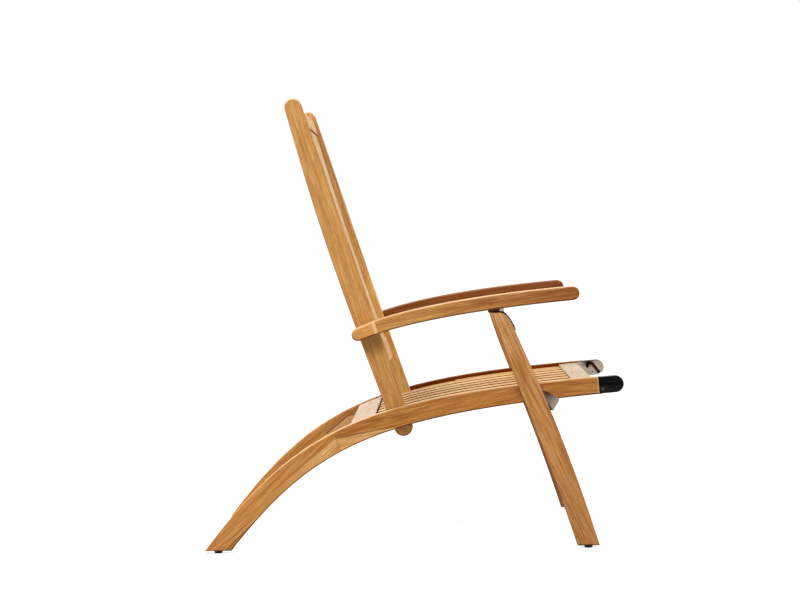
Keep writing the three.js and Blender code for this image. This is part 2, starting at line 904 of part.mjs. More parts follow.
// The armrest's leaf is a wedge that fills the room over the strap
function makeArmLeaf(side) {
  const middle = side * legMiddle;
  const under = (x) => {
    const t = solve((s) => edgeAt(arm, s, -1).x - x, 0, 1);
    return edgeAt(arm, t, -1).y - seatGap;
  };
  const front = armHinge.x + leafLength;
  const strapTop = legTop + seatGap + strapThickness;
  const outline = [
    point(armHinge.x, strapTop + seatGap),
    point(front, strapTop + seatGap),
    point(front, under(front)),
    point(armHinge.x, under(armHinge.x)),
  ];
  const leaf = plank(outline, hingeWidth, 0).translate(0, middle, 0);
  const barrel = bar(armHinge, hingeBarrelRadius, middle - hingeWidth / 2, middle + hingeWidth / 2);
  const half = hingeWidth / hingeKnuckles / 2;
  const opening = bar(armHinge, hingeBarrelRadius + hingePinGap, middle - half, middle + half);
  const pin = bar(armHinge, hingePinRadius, middle - hingeWidth / 2, middle + hingeWidth / 2);
  return join(cut(join(leaf, [barrel]), [opening]), [pin]);
}

// Hook fitting: a black cap with a steel plate inside, both cut by a hooked slot open below.
// The cap's outer face is a shallow dish inside a raised rim.
function hookOutline(inset, start) {
  const half = railFrontDepth / 2 - hookCollarStep - inset;
  const radius = Math.min(hookEndRadius, half);
  const endX = hookLength - inset - radius;
  const angle = hookDirection.angle();
  const end = (up, from, to) => roundEnd(hookPoint(endX, up), radius, angle + from, angle + to);
  return [
    hookPoint(start, half),
    hookPoint(start, -half),
    ...end(radius - half, -Math.PI / 2, 0),
    ...end(half - radius, 0, Math.PI / 2),
  ].filter((p, i, all) => i === 0 || p.distanceTo(all[i - 1]) > seatGap / 2);
}

function slotOutline(width) {
  const centre = point(slotEndX + slotRadius, slotEndLift);
  const mouth = point(slotMouthX, -railFrontDepth / 2);
  const toMouth = mouth.clone().sub(centre);
  // The straight run leaves the arc at a tangent that points at the mouth
  const turn = Math.atan2(toMouth.y, toMouth.x) + Math.acos(slotRadius / toMouth.length());
  const outward = mouth.clone()
    .sub(point(centre.x + slotRadius * Math.cos(turn), centre.y + slotRadius * Math.sin(turn)))
    .normalize();
  const past = mouth.clone().addScaledVector(outward, overrun);
  const half = width / 2;
  const outer = roundEnd(centre, slotRadius + half, Math.PI, turn);
  const inner = roundEnd(centre, slotRadius - half, turn, Math.PI);
  const end = point(slotEndX, slotEndLift);
  const closed = roundEnd(end, half, 2 * Math.PI, Math.PI, cornerSteps).slice(1, -1);
  const square = squareTo(outward);
  return [
    ...outer,
    past.clone().addScaledVector(square, half),
    past.clone().addScaledVector(square, -half),
    ...inner,
    ...closed,
  ].map((p) => hookPoint(p.x, p.y));
}

function hookTongue(side) {
  const outline = rectangle(
    hookOrigin,
    hookDirection,
    [-hookTongueLength, -hookTongueDepth / 2],
    [hookCollar + overrun, hookTongueDepth / 2],
  );
  const half = hookTongueThickness / 2;
  return plankBetween(outline, side * (hookTongueMiddle - half), side * (hookTongueMiddle + half), 0);
}

function hookScrewSpot() {
  return hookPoint(hookScrewX, -hookScrewDrop);
}

function makeHookCap(side) {
  const innerFace = side * (railInner + plateThickness + seatGap);
  const outerFace = side * railOuter;
  const shell = plankBetween(hookOutline(0, seatGap), innerFace, outerFace, smallEase);
  const collar = rectangle(
    hookOrigin,
    hookDirection,
    [seatGap, -railFrontDepth / 2],
    [hookCollar, railFrontDepth / 2],
  );
  const cavityEnd = side * (railOuter - hookWall);
  const open = innerFace - side * overrun;
  const dishFloor = outerFace - side * hookDishDepth;
  return cut(join(shell, [plankBetween(collar, innerFace, outerFace, smallEase), hookTongue(side)]), [
    plankBetween(slotOutline(slotWidth + 2 * plateRim), open, cavityEnd, 0),
    bar(hookScrewSpot(), hookScrewShankRadius + seatGap, open, innerFace + side * hookWall),
    plankBetween(
      hookOutline(hookDishRim, hookCollar + hookDishRim),
      dishFloor,
      outerFace + side * overrun,
      0,
    ),
  ]);
}

function makeHookPlate(side) {
  const face = side * railInner;
  const back = side * (railInner + plateThickness);
  const past = side * overrun;
  return cut(plankBetween(hookOutline(plateRim, -plateTail), face, back, 0), [
    plankBetween(slotOutline(slotWidth), face - past, back + past, 0),
    bar(hookScrewSpot(), hookScrewRadius + seatGap, face - past, back + past),
  ]);
}

// The flush screw that holds the plate to the cap, with a round socket in its head
function makeHookScrew(side) {
  const face = side * railInner;
  const back = side * (railInner + plateThickness);
  const spot = hookScrewSpot();
  const shank = bar(spot, hookScrewShankRadius, (face + back) / 2, back + side * hookScrewLength);
  return cut(join(bar(spot, hookScrewRadius, face, back), [shank]), [
    bar(spot, hookScrewSocketRadius, face - side * overrun, face + side * hookScrewSocketDepth),
  ]);
}

// Stop bracket: a plate on the rail's outer face with a flange in front of the leg
function legFrontAt(drop, gap) {
  const t = tWhereZ(leg, legPivot.y - drop, -1);
  return pointAt(leg, t, -depthAt(leg, t) / 2 - gap);
}

function bracketOutline() {
  const upper = legFrontAt(-bracketTop, bracketGap);
  const lower = legFrontAt(bracketBottom, bracketGap);
  const outerX = upper.x + bracketReach;
  return [
    lower,
    point(lower.x + bracketThickness, lower.y),
    point(outerX, legPivot.y - bracketTipBottom),
    point(outerX, legPivot.y - bracketTipTop),
    upper,
    point(upper.x - bracketTail, upper.y + bracketThickness),
    point(upper.x - bracketTail, legPivot.y - bracketTop / 2),
  ];
}

function flangeOutline(from, length, inset, thickness) {
  const a = legFrontAt(bracketBottom, from);
  const b = legFrontAt(bracketBottom - length, from);
  const direction = b.clone().sub(a).normalize();
  return rectangle(a, direction, [inset, -thickness], [length - inset, 0]);
}

function makeBracket(side) {
  const faces = [side * (railOuter + seatGap), side * (railOuter + seatGap + bracketThickness)];
  const plate = plankBetween(bracketOutline(), faces[0], faces[1], 0);
  const flange = plankBetween(
    flangeOutline(bracketGap, flangeLength, 0, bracketThickness),
    faces[0],
    faces[1] + side * flangeWidth,
    0,
  );
  return join(plate, [flange]);
}

// The buffer is stuck to the flange and meets the leg's front edge
function makeBuffer(side) {
  const thickness = bracketGap - 2 * seatGap;
  const inset = flangeLength / 2 - bufferRadius;
  const outline = flangeOutline(bracketGap - thickness - seatGap, flangeLength, inset, thickness);
  return plankBetween(outline, side * (legMiddle - bufferRadius), side * (legMiddle + bufferRadius), 0);
}

// Assembly
const seatFrame = pivotGroup(point(0, 0));
const back = pivotGroup(backPivot);

add(seatFrame, 'rear_seat_crossrail', makeSeatCrossrail(rearCrossrail), teak);
add(seatFrame, 'front_seat_crossrail', makeSeatCrossrail(frontCrossrail), teak);
add(seatFrame, 'seat_bearer', crossMember(bearer, memberOutline(bearer), railInner), teak);
for (let i = 0; i < seatSlatCount; i += 1) {
  add(seatFrame, `seat_slat_${i + 1}`, makeSeatSlat(i), paleTeak);
}

add(back, 'back_top_rail', makeBackRail(topRail, topRailOutline(), -1), teak);
add(back, 'back_bottom_rail', makeBackRail(bottomRail, memberOutline(bottomRail), 1), teak);
for (let i = 0; i < backSlatCount; i += 1) {
  add(back, `back_slat_${i + 1}`, makeBackSlat(i), paleTeak);
}

for (const [name, side] of Object.entries(sides)) {
  add(seatFrame, `${name}_seat_rail`, makeRail(side), teak);
  add(seatFrame, `${name}_outer_seat_slat`, makeOuterSlat(side), paleTeak);
  add(seatFrame, `${name}_hook_cap`, makeHookCap(side), blackPlastic);
  add(seatFrame, `${name}_hook_plate`, makeHookPlate(side), steel);
  add(seatFrame, `${name}_hook_screw`, makeHookScrew(side), steel);
  add(seatFrame, `${name}_stop_bracket`, makeBracket(side), steel);
  add(seatFrame, `${name}_stop_buffer`, makeBuffer(side), blackRubber);
  add(seatFrame, `${name}_rear_foot_pad`, footPad(rearPadX, side * railMiddle), blackRubber);
  add(seatFrame, `${name}_back_pivot_bolt`, makeBackPivotBolt(side), steel);
  add(seatFrame, `${name}_leg_pivot_bolt`, makeLegPivotBolt(side), steel);
  add(seatFrame, `${name}_leg_washer`, makeWasher(side), steel);

  add(back, `${name}_back_stile`, makeStile(side), teak);
  add(back, `${name}_arm_pivot_bolt`, makeArmPivotBolt(side), steel);

  const armGroup = pivotGroup(armPivot);
  add(armGroup, `${name}_armrest`, makeArmrest(side), teak);
  add(armGroup, `${name}_arm_cheek`, makeCheek(side), paleTeak);
  add(armGroup, `${name}_arm_plug`, makePlug(armPivot, side * (chairWidth / 2), -side), paleTeak);
  add(armGroup, `${name}_arm_hinge_leaf`, makeArmLeaf(side), darkSteel);

  const legGroup = pivotGroup(legPivot);
  add(legGroup, `${name}_front_leg`, makeLeg(side), teak);
  add(legGroup, `${name}_leg_plug`, makePlug(legPivot, side * legOuter, -side), paleTeak);
  add(legGroup, `${name}_leg_hinge_strap`, makeStrap(side), darkSteel);
  add(legGroup, `${name}_front_foot_pad`, footPad(frontPadX, side * legMiddle), blackRubber);
}

// The origin lies on the floor under the middle of the whole chair
group.updateMatrixWorld(true);
const box = new THREE.Box3().setFromObject(group);
group.position.x = -(box.min.x + box.max.x) / 2;

export default group;
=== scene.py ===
import math
from collections import namedtuple

import bpy
import numpy as np
from mathutils import Matrix, Vector


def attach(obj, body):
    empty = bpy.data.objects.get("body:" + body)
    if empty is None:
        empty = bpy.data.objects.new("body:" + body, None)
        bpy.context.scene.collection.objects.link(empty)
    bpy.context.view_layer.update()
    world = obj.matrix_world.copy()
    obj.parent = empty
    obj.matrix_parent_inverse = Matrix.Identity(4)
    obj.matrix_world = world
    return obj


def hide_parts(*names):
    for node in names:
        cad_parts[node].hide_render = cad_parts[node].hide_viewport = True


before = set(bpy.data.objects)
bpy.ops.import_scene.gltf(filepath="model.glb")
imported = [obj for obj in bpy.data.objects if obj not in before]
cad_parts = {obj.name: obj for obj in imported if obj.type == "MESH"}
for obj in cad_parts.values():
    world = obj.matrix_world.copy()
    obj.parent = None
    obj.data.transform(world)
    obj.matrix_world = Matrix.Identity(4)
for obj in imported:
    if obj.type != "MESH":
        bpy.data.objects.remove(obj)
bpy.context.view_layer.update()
scene = bpy.context.scene


# Studio: a white sweep, lit as for a catalogue picture by soft boxes high behind the chair, in
# front of it and beside it, with a little light from all round. The camera stands 0.69 m up and
# 4.3 m off, and looks almost square at the chair's right side.
def linear(hex_colour):
    """An sRGB hex colour as the linear red, green, blue and alpha that Blender's sockets take."""
    channels = [int(hex_colour[i:i + 2], 16) / 255 for i in (1, 3, 5)]
    return [c / 12.92 if c <= 0.04045 else ((c + 0.055) / 1.055) ** 2.4 for c in channels] + [1]


def add(tree, kind, values=None, **settings):
    """Adds a node with its own settings, and with values or links for its inputs."""
    made = tree.nodes.new(kind)
    for name, value in settings.items():
        setattr(made, name, value)
    for key, value in (values or {}).items():
        if isinstance(value, bpy.types.NodeSocket):
            tree.links.new(value, made.inputs[key])
        else:
            made.inputs[key].default_value = value
    return made


def calculate(tree, operation, first, second=0.0):
    """One sum on two values or links."""
    return add(tree, "ShaderNodeMath", {0: first, 1: second}, operation=operation).outputs[0]


def remap(tree, value, low, high, to_low=0.0, to_high=1.0, **settings):
    """Stretches a value from one range to another, and stops at the ends."""
    ranged = add(tree, "ShaderNodeMapRange", {
        "Value": value,
        "From Min": low,
        "From Max": high,
        "To Min": to_low,
        "To Max": to_high,
    }, **settings)
    return ranged.outputs[0]


def new_material(name):
    """An empty material with its node tree and its output node."""
    material = bpy.data.materials.new(name)
    material.use_nodes = True
    material.node_tree.nodes.clear()
    return material, material.node_tree, add(material.node_tree, "ShaderNodeOutputMaterial")


CAMERA_PLACE = Vector((0.0798, -4.342, 0.690))
CAMERA_YAW = math.radians(1.395)
CAMERA_PITCH = math.radians(1.972)
CAMERA_ROLL = math.radians(-1.466)
FOCAL_PIXELS = 1862
IMAGE_WIDTH = 800
SENSOR_WIDTH = 36
FAR_CLIP = 200

look = Vector((
    -math.sin(CAMERA_YAW) * math.cos(CAMERA_PITCH),
    math.cos(CAMERA_YAW) * math.cos(CAMERA_PITCH),
    -math.sin(CAMERA_PITCH),
))
level_right = Vector((math.cos(CAMERA_YAW), math.sin(CAMERA_YAW), 0))
level_up = level_right.cross(look)
right = math.cos(CAMERA_ROLL) * level_right + math.sin(CAMERA_ROLL) * level_up
up = math.cos(CAMERA_ROLL) * level_up - math.sin(CAMERA_ROLL) * level_right

camera = bpy.data.objects.new("camera", bpy.data.cameras.new("camera"))
camera.data.sensor_width = SENSOR_WIDTH
camera.data.lens = SENSOR_WIDTH * FOCAL_PIXELS / IMAGE_WIDTH
camera.data.clip_end = FAR_CLIP
camera_turn = Matrix((right, up, -look)).transposed().to_4x4()
camera.matrix_world = Matrix.Translation(CAMERA_PLACE) @ camera_turn
scene.collection.objects.link(camera)
scene.camera = camera
scene.view_settings.view_transform = "Standard"


def soft_box(name, place, aim, width, height, watts):
    """A rectangular lamp at a place, turned to shine on another."""
    lamp = bpy.data.lights.new(name, "AREA")
    lamp.shape = "RECTANGLE"
    lamp.size = width
    lamp.size_y = height
    lamp.energy = watts
    made = bpy.data.objects.new(name, lamp)
    lamp_turn = (aim - place).to_track_quat("-Z", "Y").to_matrix().to_4x4()
    made.matrix_world = Matrix.Translation(place) @ lamp_turn
    scene.collection.objects.link(made)


SEAT_MIDDLE = Vector((0, 0, 0.4))
NEAR_SIDE = Vector((0, -0.27, 0.45))
soft_box("overhead_box", Vector((-0.9, 0.5, 2.2)), SEAT_MIDDLE, width=1.4, height=1.4, watts=66)
soft_box("front_box", Vector((2.4, 0.5, 1.6)), SEAT_MIDDLE, width=1.2, height=1.2, watts=24)
soft_box("side_box", Vector((-0.3, -1.9, 1.75)), NEAR_SIDE, width=2.0, height=0.7, watts=32)
# A small one, low beside the camera, for the glint in the black caps
soft_box("glint_box", Vector((1.83, -2.3, 0.84)), NEAR_SIDE, width=0.18, height=0.18, watts=3.5)

# The world is white to the camera and in reflections, and a dimmer grey as a light
WHITE = linear("#ffffff")
WORLD_LIGHT = 0.26
world = bpy.data.worlds.new("studio_world")
world.use_nodes = True
world_tree = world.node_tree
world_tree.nodes.clear()
rays = add(world_tree, "ShaderNodeLightPath").outputs
seen = calculate(world_tree, "MAXIMUM", rays["Is Camera Ray"], rays["Is Glossy Ray"])
seen_through = calculate(world_tree, "MAXIMUM", seen, rays["Is Transmission Ray"])
world_shader = add(world_tree, "ShaderNodeBackground", {
    "Color": WHITE,
    "Strength": remap(world_tree, seen_through, 0.0, 1.0, WORLD_LIGHT, 1.0),
})
add(world_tree, "ShaderNodeOutputWorld", {"Surface": world_shader.outputs[0]})
scene.world = world

# The floor is matt white paper. Near the chair it keeps the soft shadow, and further off it
# is lifted to plain white, so that no line shows where it ends.
FLOOR_HALF = 40
FLOOR_PAPER = "#bab9b7"
NEAR_LIFT = 0.72
FAR_LIFT = 1.0
NEAR_RADIUS = 0.7
FAR_RADIUS = 2.0
floor_material, tree, output = new_material("white_paper")
paper = add(tree, "ShaderNodeBsdfDiffuse", {"Color": linear(FLOOR_PAPER)})
floor_place = add(tree, "ShaderNodeTexCoord").outputs["Object"]
floor_reach = add(tree, "ShaderNodeVectorMath", {0: floor_place}, operation="LENGTH")
floor_lift = remap(
    tree, floor_reach.outputs["Value"], NEAR_RADIUS, FAR_RADIUS, NEAR_LIFT, FAR_LIFT,
    interpolation_type="SMOOTHSTEP")
camera_ray = add(tree, "ShaderNodeLightPath").outputs["Is Camera Ray"]
glow = add(tree, "ShaderNodeEmission", {
    "Color": WHITE,
    "Strength": calculate(tree, "MULTIPLY", camera_ray, floor_lift),
})
lit_paper = add(tree, "ShaderNodeAddShader", {0: paper.outputs[0], 1: glow.outputs[0]})
tree.links.new(lit_paper.outputs[0], output.inputs["Surface"])
floor_mesh = bpy.data.meshes.new("floor")
corners = [(x * FLOOR_HALF, y * FLOOR_HALF, 0) for x, y in ((-1, -1), (1, -1), (1, 1), (-1, 1))]
floor_mesh.from_pydata(corners, [], [(0, 1, 2, 3)])
floor_mesh.materials.append(floor_material)
floor = bpy.data.objects.new("floor", floor_mesh)
scene.collection.objects.link(floor)


# Seat rails: two curved boards from the rear feet to the front hooks. Each is sawn from a teak
# blank glued up from straight planks: one rises at 41 degrees, the next at 12, the last at 5,
# with paler wood let in below the first joint. The edges are rounded and the faces sanded.
MERGE_DISTANCE = 0.00001
SHARP_ANGLE = math.radians(21)


def smooth_surfaces():
    """A tree that joins the loose triangles of a CAD piece and shades its curved faces smooth."""
    tree = bpy.data.node_groups.new("smooth_surfaces", "GeometryNodeTree")
    tree.interface.new_socket("Geometry", in_out="INPUT", socket_type="NodeSocketGeometry")
    tree.interface.new_socket("Sharp Angle", in_out="INPUT", socket_type="NodeSocketFloat")
    tree.interface.new_socket("Geometry", in_out="OUTPUT", socket_type="NodeSocketGeometry")
    given = add(tree, "NodeGroupInput")
    merged = add(tree, "GeometryNodeMergeByDistance", {
        "Geometry": given.outputs["Geometry"],
        "Distance": MERGE_DISTANCE,
    })
    all_smooth = add(tree, "GeometryNodeSetShadeSmooth", {
        "Geometry": merged.outputs["Geometry"],
        "Shade Smooth": True,
    }, domain="FACE")
    edge_angle = add(tree, "GeometryNodeInputMeshEdgeAngle")
    gentle = add(tree, "FunctionNodeCompare", {
        0: edge_angle.outputs["Unsigned Angle"],
        1: given.outputs["Sharp Angle"],
    }, data_type="FLOAT", operation="LESS_THAN")
    edges = add(tree, "GeometryNodeSetShadeSmooth", {
        "Geometry": all_smooth.outputs["Geometry"],
        "Shade Smooth": gentle.outputs["Result"],
    }, domain="EDGE")
    add(tree, "NodeGroupOutput", {"Geometry": edges.outputs["Geometry"]})
    return tree


smoothing = smooth_surfaces()


def set_input(modifier, name, value):
    """Sets a named input of a Geometry Nodes modifier."""
    sockets = modifier.node_group.interface.items_tree
    socket = next(item for item in sockets if item.name == name and item.in_out == "INPUT")
    modifier[socket.identifier] = value


def dress(node_name, material):
    """Gives a CAD piece its finish and smooth shading, and leaves its shape as it is."""
    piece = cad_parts[node_name]
    piece.data.materials.clear()
    piece.data.materials.append(material)
    modifier = piece.modifiers.new("smooth", "NODES")
    modifier.node_group = smoothing
    set_input(modifier, "Sharp Angle", SHARP_ANGLE)


def object_place(tree):
    """The X, Y and Z of a point of the piece, in metres."""
    coordinates = add(tree, "ShaderNodeTexCoord")
    return add(tree, "ShaderNodeSeparateXYZ", {0: coordinates.outputs["Object"]}).outputs


def face_direction(tree):
    """The X, Y and Z of the direction in which a face looks."""
    geometry = add(tree, "ShaderNodeNewGeometry")
    return add(tree, "ShaderNodeSeparateXYZ", {0: geometry.outputs["Normal"]}).outputs


def slope(degrees):
    """The turn about Y that lays the grain at an angle above the chair's length."""
    return (0, math.radians(degrees), 0)


NOISE_ROUGHNESS = 0.55
# Most of the noise's values lie between these two
NOISE_RANGE = (0.3, 0.7)


def stretched_noise(tree, grain, length, breadth, detail=2.0, distortion=0.0):
    """Noise drawn out along the grain: length and breadth are the size of its marks in metres."""
    scaled = add(tree, "ShaderNodeVectorMath", {
        0: grain,
        1: (1 / length, 1 / breadth, 1 / breadth),
    }, operation="MULTIPLY")
    noise = add(tree, "ShaderNodeTexNoise", {
        "Vector": scaled.outputs[0],
        "Scale": 1.0,
        "Detail": detail,
        "Roughness": NOISE_ROUGHNESS,
        "Distortion": distortion,
    }, noise_dimensions="3D")
    return noise.outputs["Fac"]


def product(tree, first, *others):
    """Several values or links multiplied, as where all of some conditions have to hold."""
    for other in others:
        first = calculate(tree, "MULTIPLY", first, other)
    return first


def blend_colours(tree, amount, first, second, mode="MIX"):
    """Mixes two colours, each a value or a link, by an amount."""
    mixed = add(tree, "ShaderNodeMix", {
        0: amount,
        6: first,
        7: second,
    }, data_type="RGBA", blend_type=mode)
    return mixed.outputs[2]


# Teak, planed and sanded, then oiled once: straw to brown heartwood. It shows growth bands some
# 9 mm apart, redder streaks a hand long, fibres and thin red lines, and pores, short dark dashes
# that are drawn 1.2 mm wide, four times their real width, or they would not show at this
# distance. Patches a thumb wide, its clouds, are a little more golden or redder than the rest.
# Each mark has the length and breadth of its noise in metres, its detail and its distortion, and
# the values of the noise at which it starts and is full.
Mark = namedtuple("Mark", "length breadth detail distortion start full")
BANDS = Mark(0.34, 0.009, 2.0, 0.4, 0.34, 0.62)
FIBRES = Mark(0.07, 0.0026, 3.0, 0.0, 0.42, 0.66)
STREAKS = Mark(0.17, 0.012, 3.0, 0.6, 0.50, 0.74)
LINES = Mark(0.11, 0.0034, 2.0, 0.3, 0.56, 0.72)
PORES = Mark(0.012, 0.0012, 2.0, 0.0, 0.58, 0.72)
CLOUDS = Mark(0.075, 0.022, 3.0, 0.8, 0.40, 0.62)
FIBRE_SHARE = 0.85
LINE_SHARE = 0.55
PORE_SHARE = 0.6
TEAK_RED = "#9a5420"
TEAK_REDNESS = 0.55
CLOUD_GOLD = "#fdf9e4"
CLOUD_RED = "#e8d2c0"
CLOUD_RED_START = 0.45
CLOUD_RED_FULL = 0.30
CLOUD_RED_SHARE = 0.5


def noise_of(tree, grain, mark):
    """The noise that a kind of mark in the wood comes from."""
    return stretched_noise(tree, grain, mark.length, mark.breadth, mark.detail, mark.distortion)


def teak_colour(tree, grain, tones, redness=TEAK_REDNESS):
    """The colour of a sanded teak face, from its dark, middle and light tones and its marks."""
    dark, middle, light = tones
    colour = linear(dark)
    for mark, share, tone in (
        (BANDS, 1.0, middle),
        (FIBRES, FIBRE_SHARE, light),
        (STREAKS, redness, TEAK_RED),
        (LINES, LINE_SHARE, TEAK_RED),
        (PORES, PORE_SHARE, TEAK_RED),
    ):
        amount = remap(tree, noise_of(tree, grain, mark), mark.start, mark.full, 0.0, share)
        colour = blend_colours(tree, amount, colour, linear(tone))
    clouds = noise_of(tree, grain, CLOUDS)
    golden = remap(tree, clouds, CLOUDS.start, CLOUDS.full)
    colour = blend_colours(tree, golden, colour, linear(CLOUD_GOLD), "MULTIPLY")
    reddish = remap(tree, clouds, CLOUD_RED_FULL, CLOUD_RED_START, CLOUD_RED_SHARE, 0.0)
    return blend_colours(tree, reddish, colour, linear(CLOUD_RED), "MULTIPLY")


# Painted light: the boards' upper faces get a paler painted highlight, and on the left half's long
# boards a brown painted shade instead; the faces that look down get a painted shade, darker brown.
# Each comes in by how far up or down a face looks.
UPWARD_START = 0.35
UPWARD_FULL = 0.85
DOWNWARD_START = -0.1
DOWNWARD_FULL = -0.36
SHADED_TEAK = "#96704e"
SHADED_SHARE = 0.85
# The painted highlight on upper faces: its colour and its share
PAINTED_TOP_HIGHLIGHT = ("#d8b380", 0.75)
# On the left half's long boards the upper faces get a brown painted shade, not the highlight
PAINTED_TOP_SHADE = ("#7d4f28", 0.65)
# Sanded fibres stand 0.4 mm proud in the bump, coarser than they are, so that they show
FIBRE_RELIEF = 0.0004
FIBRE_RELIEF_SHARE = 0.22
TEAK_ROUGHNESS = (0.44, 0.6)
TEAK_IOR = 1.45
TEAK_GLOSS = 0.3


def finish_teak(tree, output, grain, colour, top=None, gloss=TEAK_GLOSS):
    """Gives the colour a satin surface with raised fibres, and joins it to the output."""
    up = face_direction(tree)["Z"]
    # Upper faces get the painted top colour: a highlight, and on the left half's long boards a
    # shade
    if top:
        top_colour, share = top
        upward = remap(tree, up, UPWARD_START, UPWARD_FULL, 0.0, share)
        colour = blend_colours(tree, upward, colour, linear(top_colour))
    # The faces that look down get a painted shade
    downward = remap(tree, up, DOWNWARD_FULL, DOWNWARD_START, SHADED_SHARE, 0.0)
    colour = blend_colours(tree, downward, colour, linear(SHADED_TEAK), "MULTIPLY")
    fibres = stretched_noise(tree, grain, FIBRES.length / 2, FIBRES.breadth / 3, FIBRES.detail)
    bump = add(tree, "ShaderNodeBump", {
        "Height": fibres,
        "Strength": FIBRE_RELIEF_SHARE,
        "Distance": FIBRE_RELIEF,
    })
    shader = add(tree, "ShaderNodeBsdfPrincipled", {
        "Base Color": colour,
        "Roughness": remap(tree, fibres, *NOISE_RANGE, *TEAK_ROUGHNESS),
        "IOR": TEAK_IOR,
        "Specular IOR Level": gloss,
        "Normal": bump.outputs["Normal"],
    })
    tree.links.new(shader.outputs["BSDF"], output.inputs["Surface"])


# The joints lie in the side view: FIRST_JOINT is where the planks and the paler wood meet
FIRST_JOINT = (-0.169, 0.2495)
JOINT_SLOPE = 111
REAR_SLOPE = 41
MIDDLE_SLOPE = 12
FRONT_SLOPE = 4.6
FRONT_JOINT_X = 0.25
FOOT_JOINT = (-0.359, 0.062)
FOOT_JOINT_SLOPE = 43
FOOT_JOINT_END_X = -0.335
LET_IN_REAR_SLOPE = 39.4
LET_IN_FRONT_SLOPE = 9.6
LET_IN_START_X = -0.33
LET_IN_FADE = 0.13
LET_IN_END_X = -0.035
REAR_LINE_END_X = -0.222
RAIL_TONES = ("#b56f2e", "#d28f49", "#e7ae66")
RAIL_REDNESS = 0.6
LET_IN_TONES = ("#d29456", "#e8ae6d", "#f1c58a")
LET_IN_REDNESS = 0.3
# The planks ahead of the first joint are a little darker and yellower
AHEAD_TINT = "#ebe2d0"
# How far a plank's pattern is moved for each number, so that no two planks are alike
PLANK_SHIFT = 0.77
GLUE_BROWN = "#54260c"
GLUE_LINE = 0.0009
FRONT_GLUE = 0.6
SHORT_GLUE = 0.3
# The inner faces beside the seat slats, in the corner above them, get a painted shade: dark and
# dull
LEDGE_INNER_Y = 0.2465
LEDGE_START_X = -0.10
LEDGE_PAINTED_SHADE = "#a07026"
# The rail ends square to its line, and a painted highlight lies along the edge of its end beside
# the cap
RAIL_END_LEAN = 0.0689
RAIL_END = 0.4357
RAIL_ARRIS = 0.004
RAIL_ARRIS_FADE = 0.002
RAIL_ARRIS_HIGHLIGHT = "#e6c79c"
RAIL_ARRIS_SHARE = 0.8


def height_over(tree, place, through, degrees):
    """How far a point of the side view lies to the left of a line through a point, in metres."""
    angle = math.radians(degrees)
    over_x = calculate(tree, "SUBTRACT", place["X"], through[0])
    over_z = calculate(tree, "SUBTRACT", place["Z"], through[1])
    across_x = calculate(tree, "MULTIPLY", over_x, -math.sin(angle))
    across_z = calculate(tree, "MULTIPLY", over_z, math.cos(angle))
    return calculate(tree, "ADD", across_x, across_z)


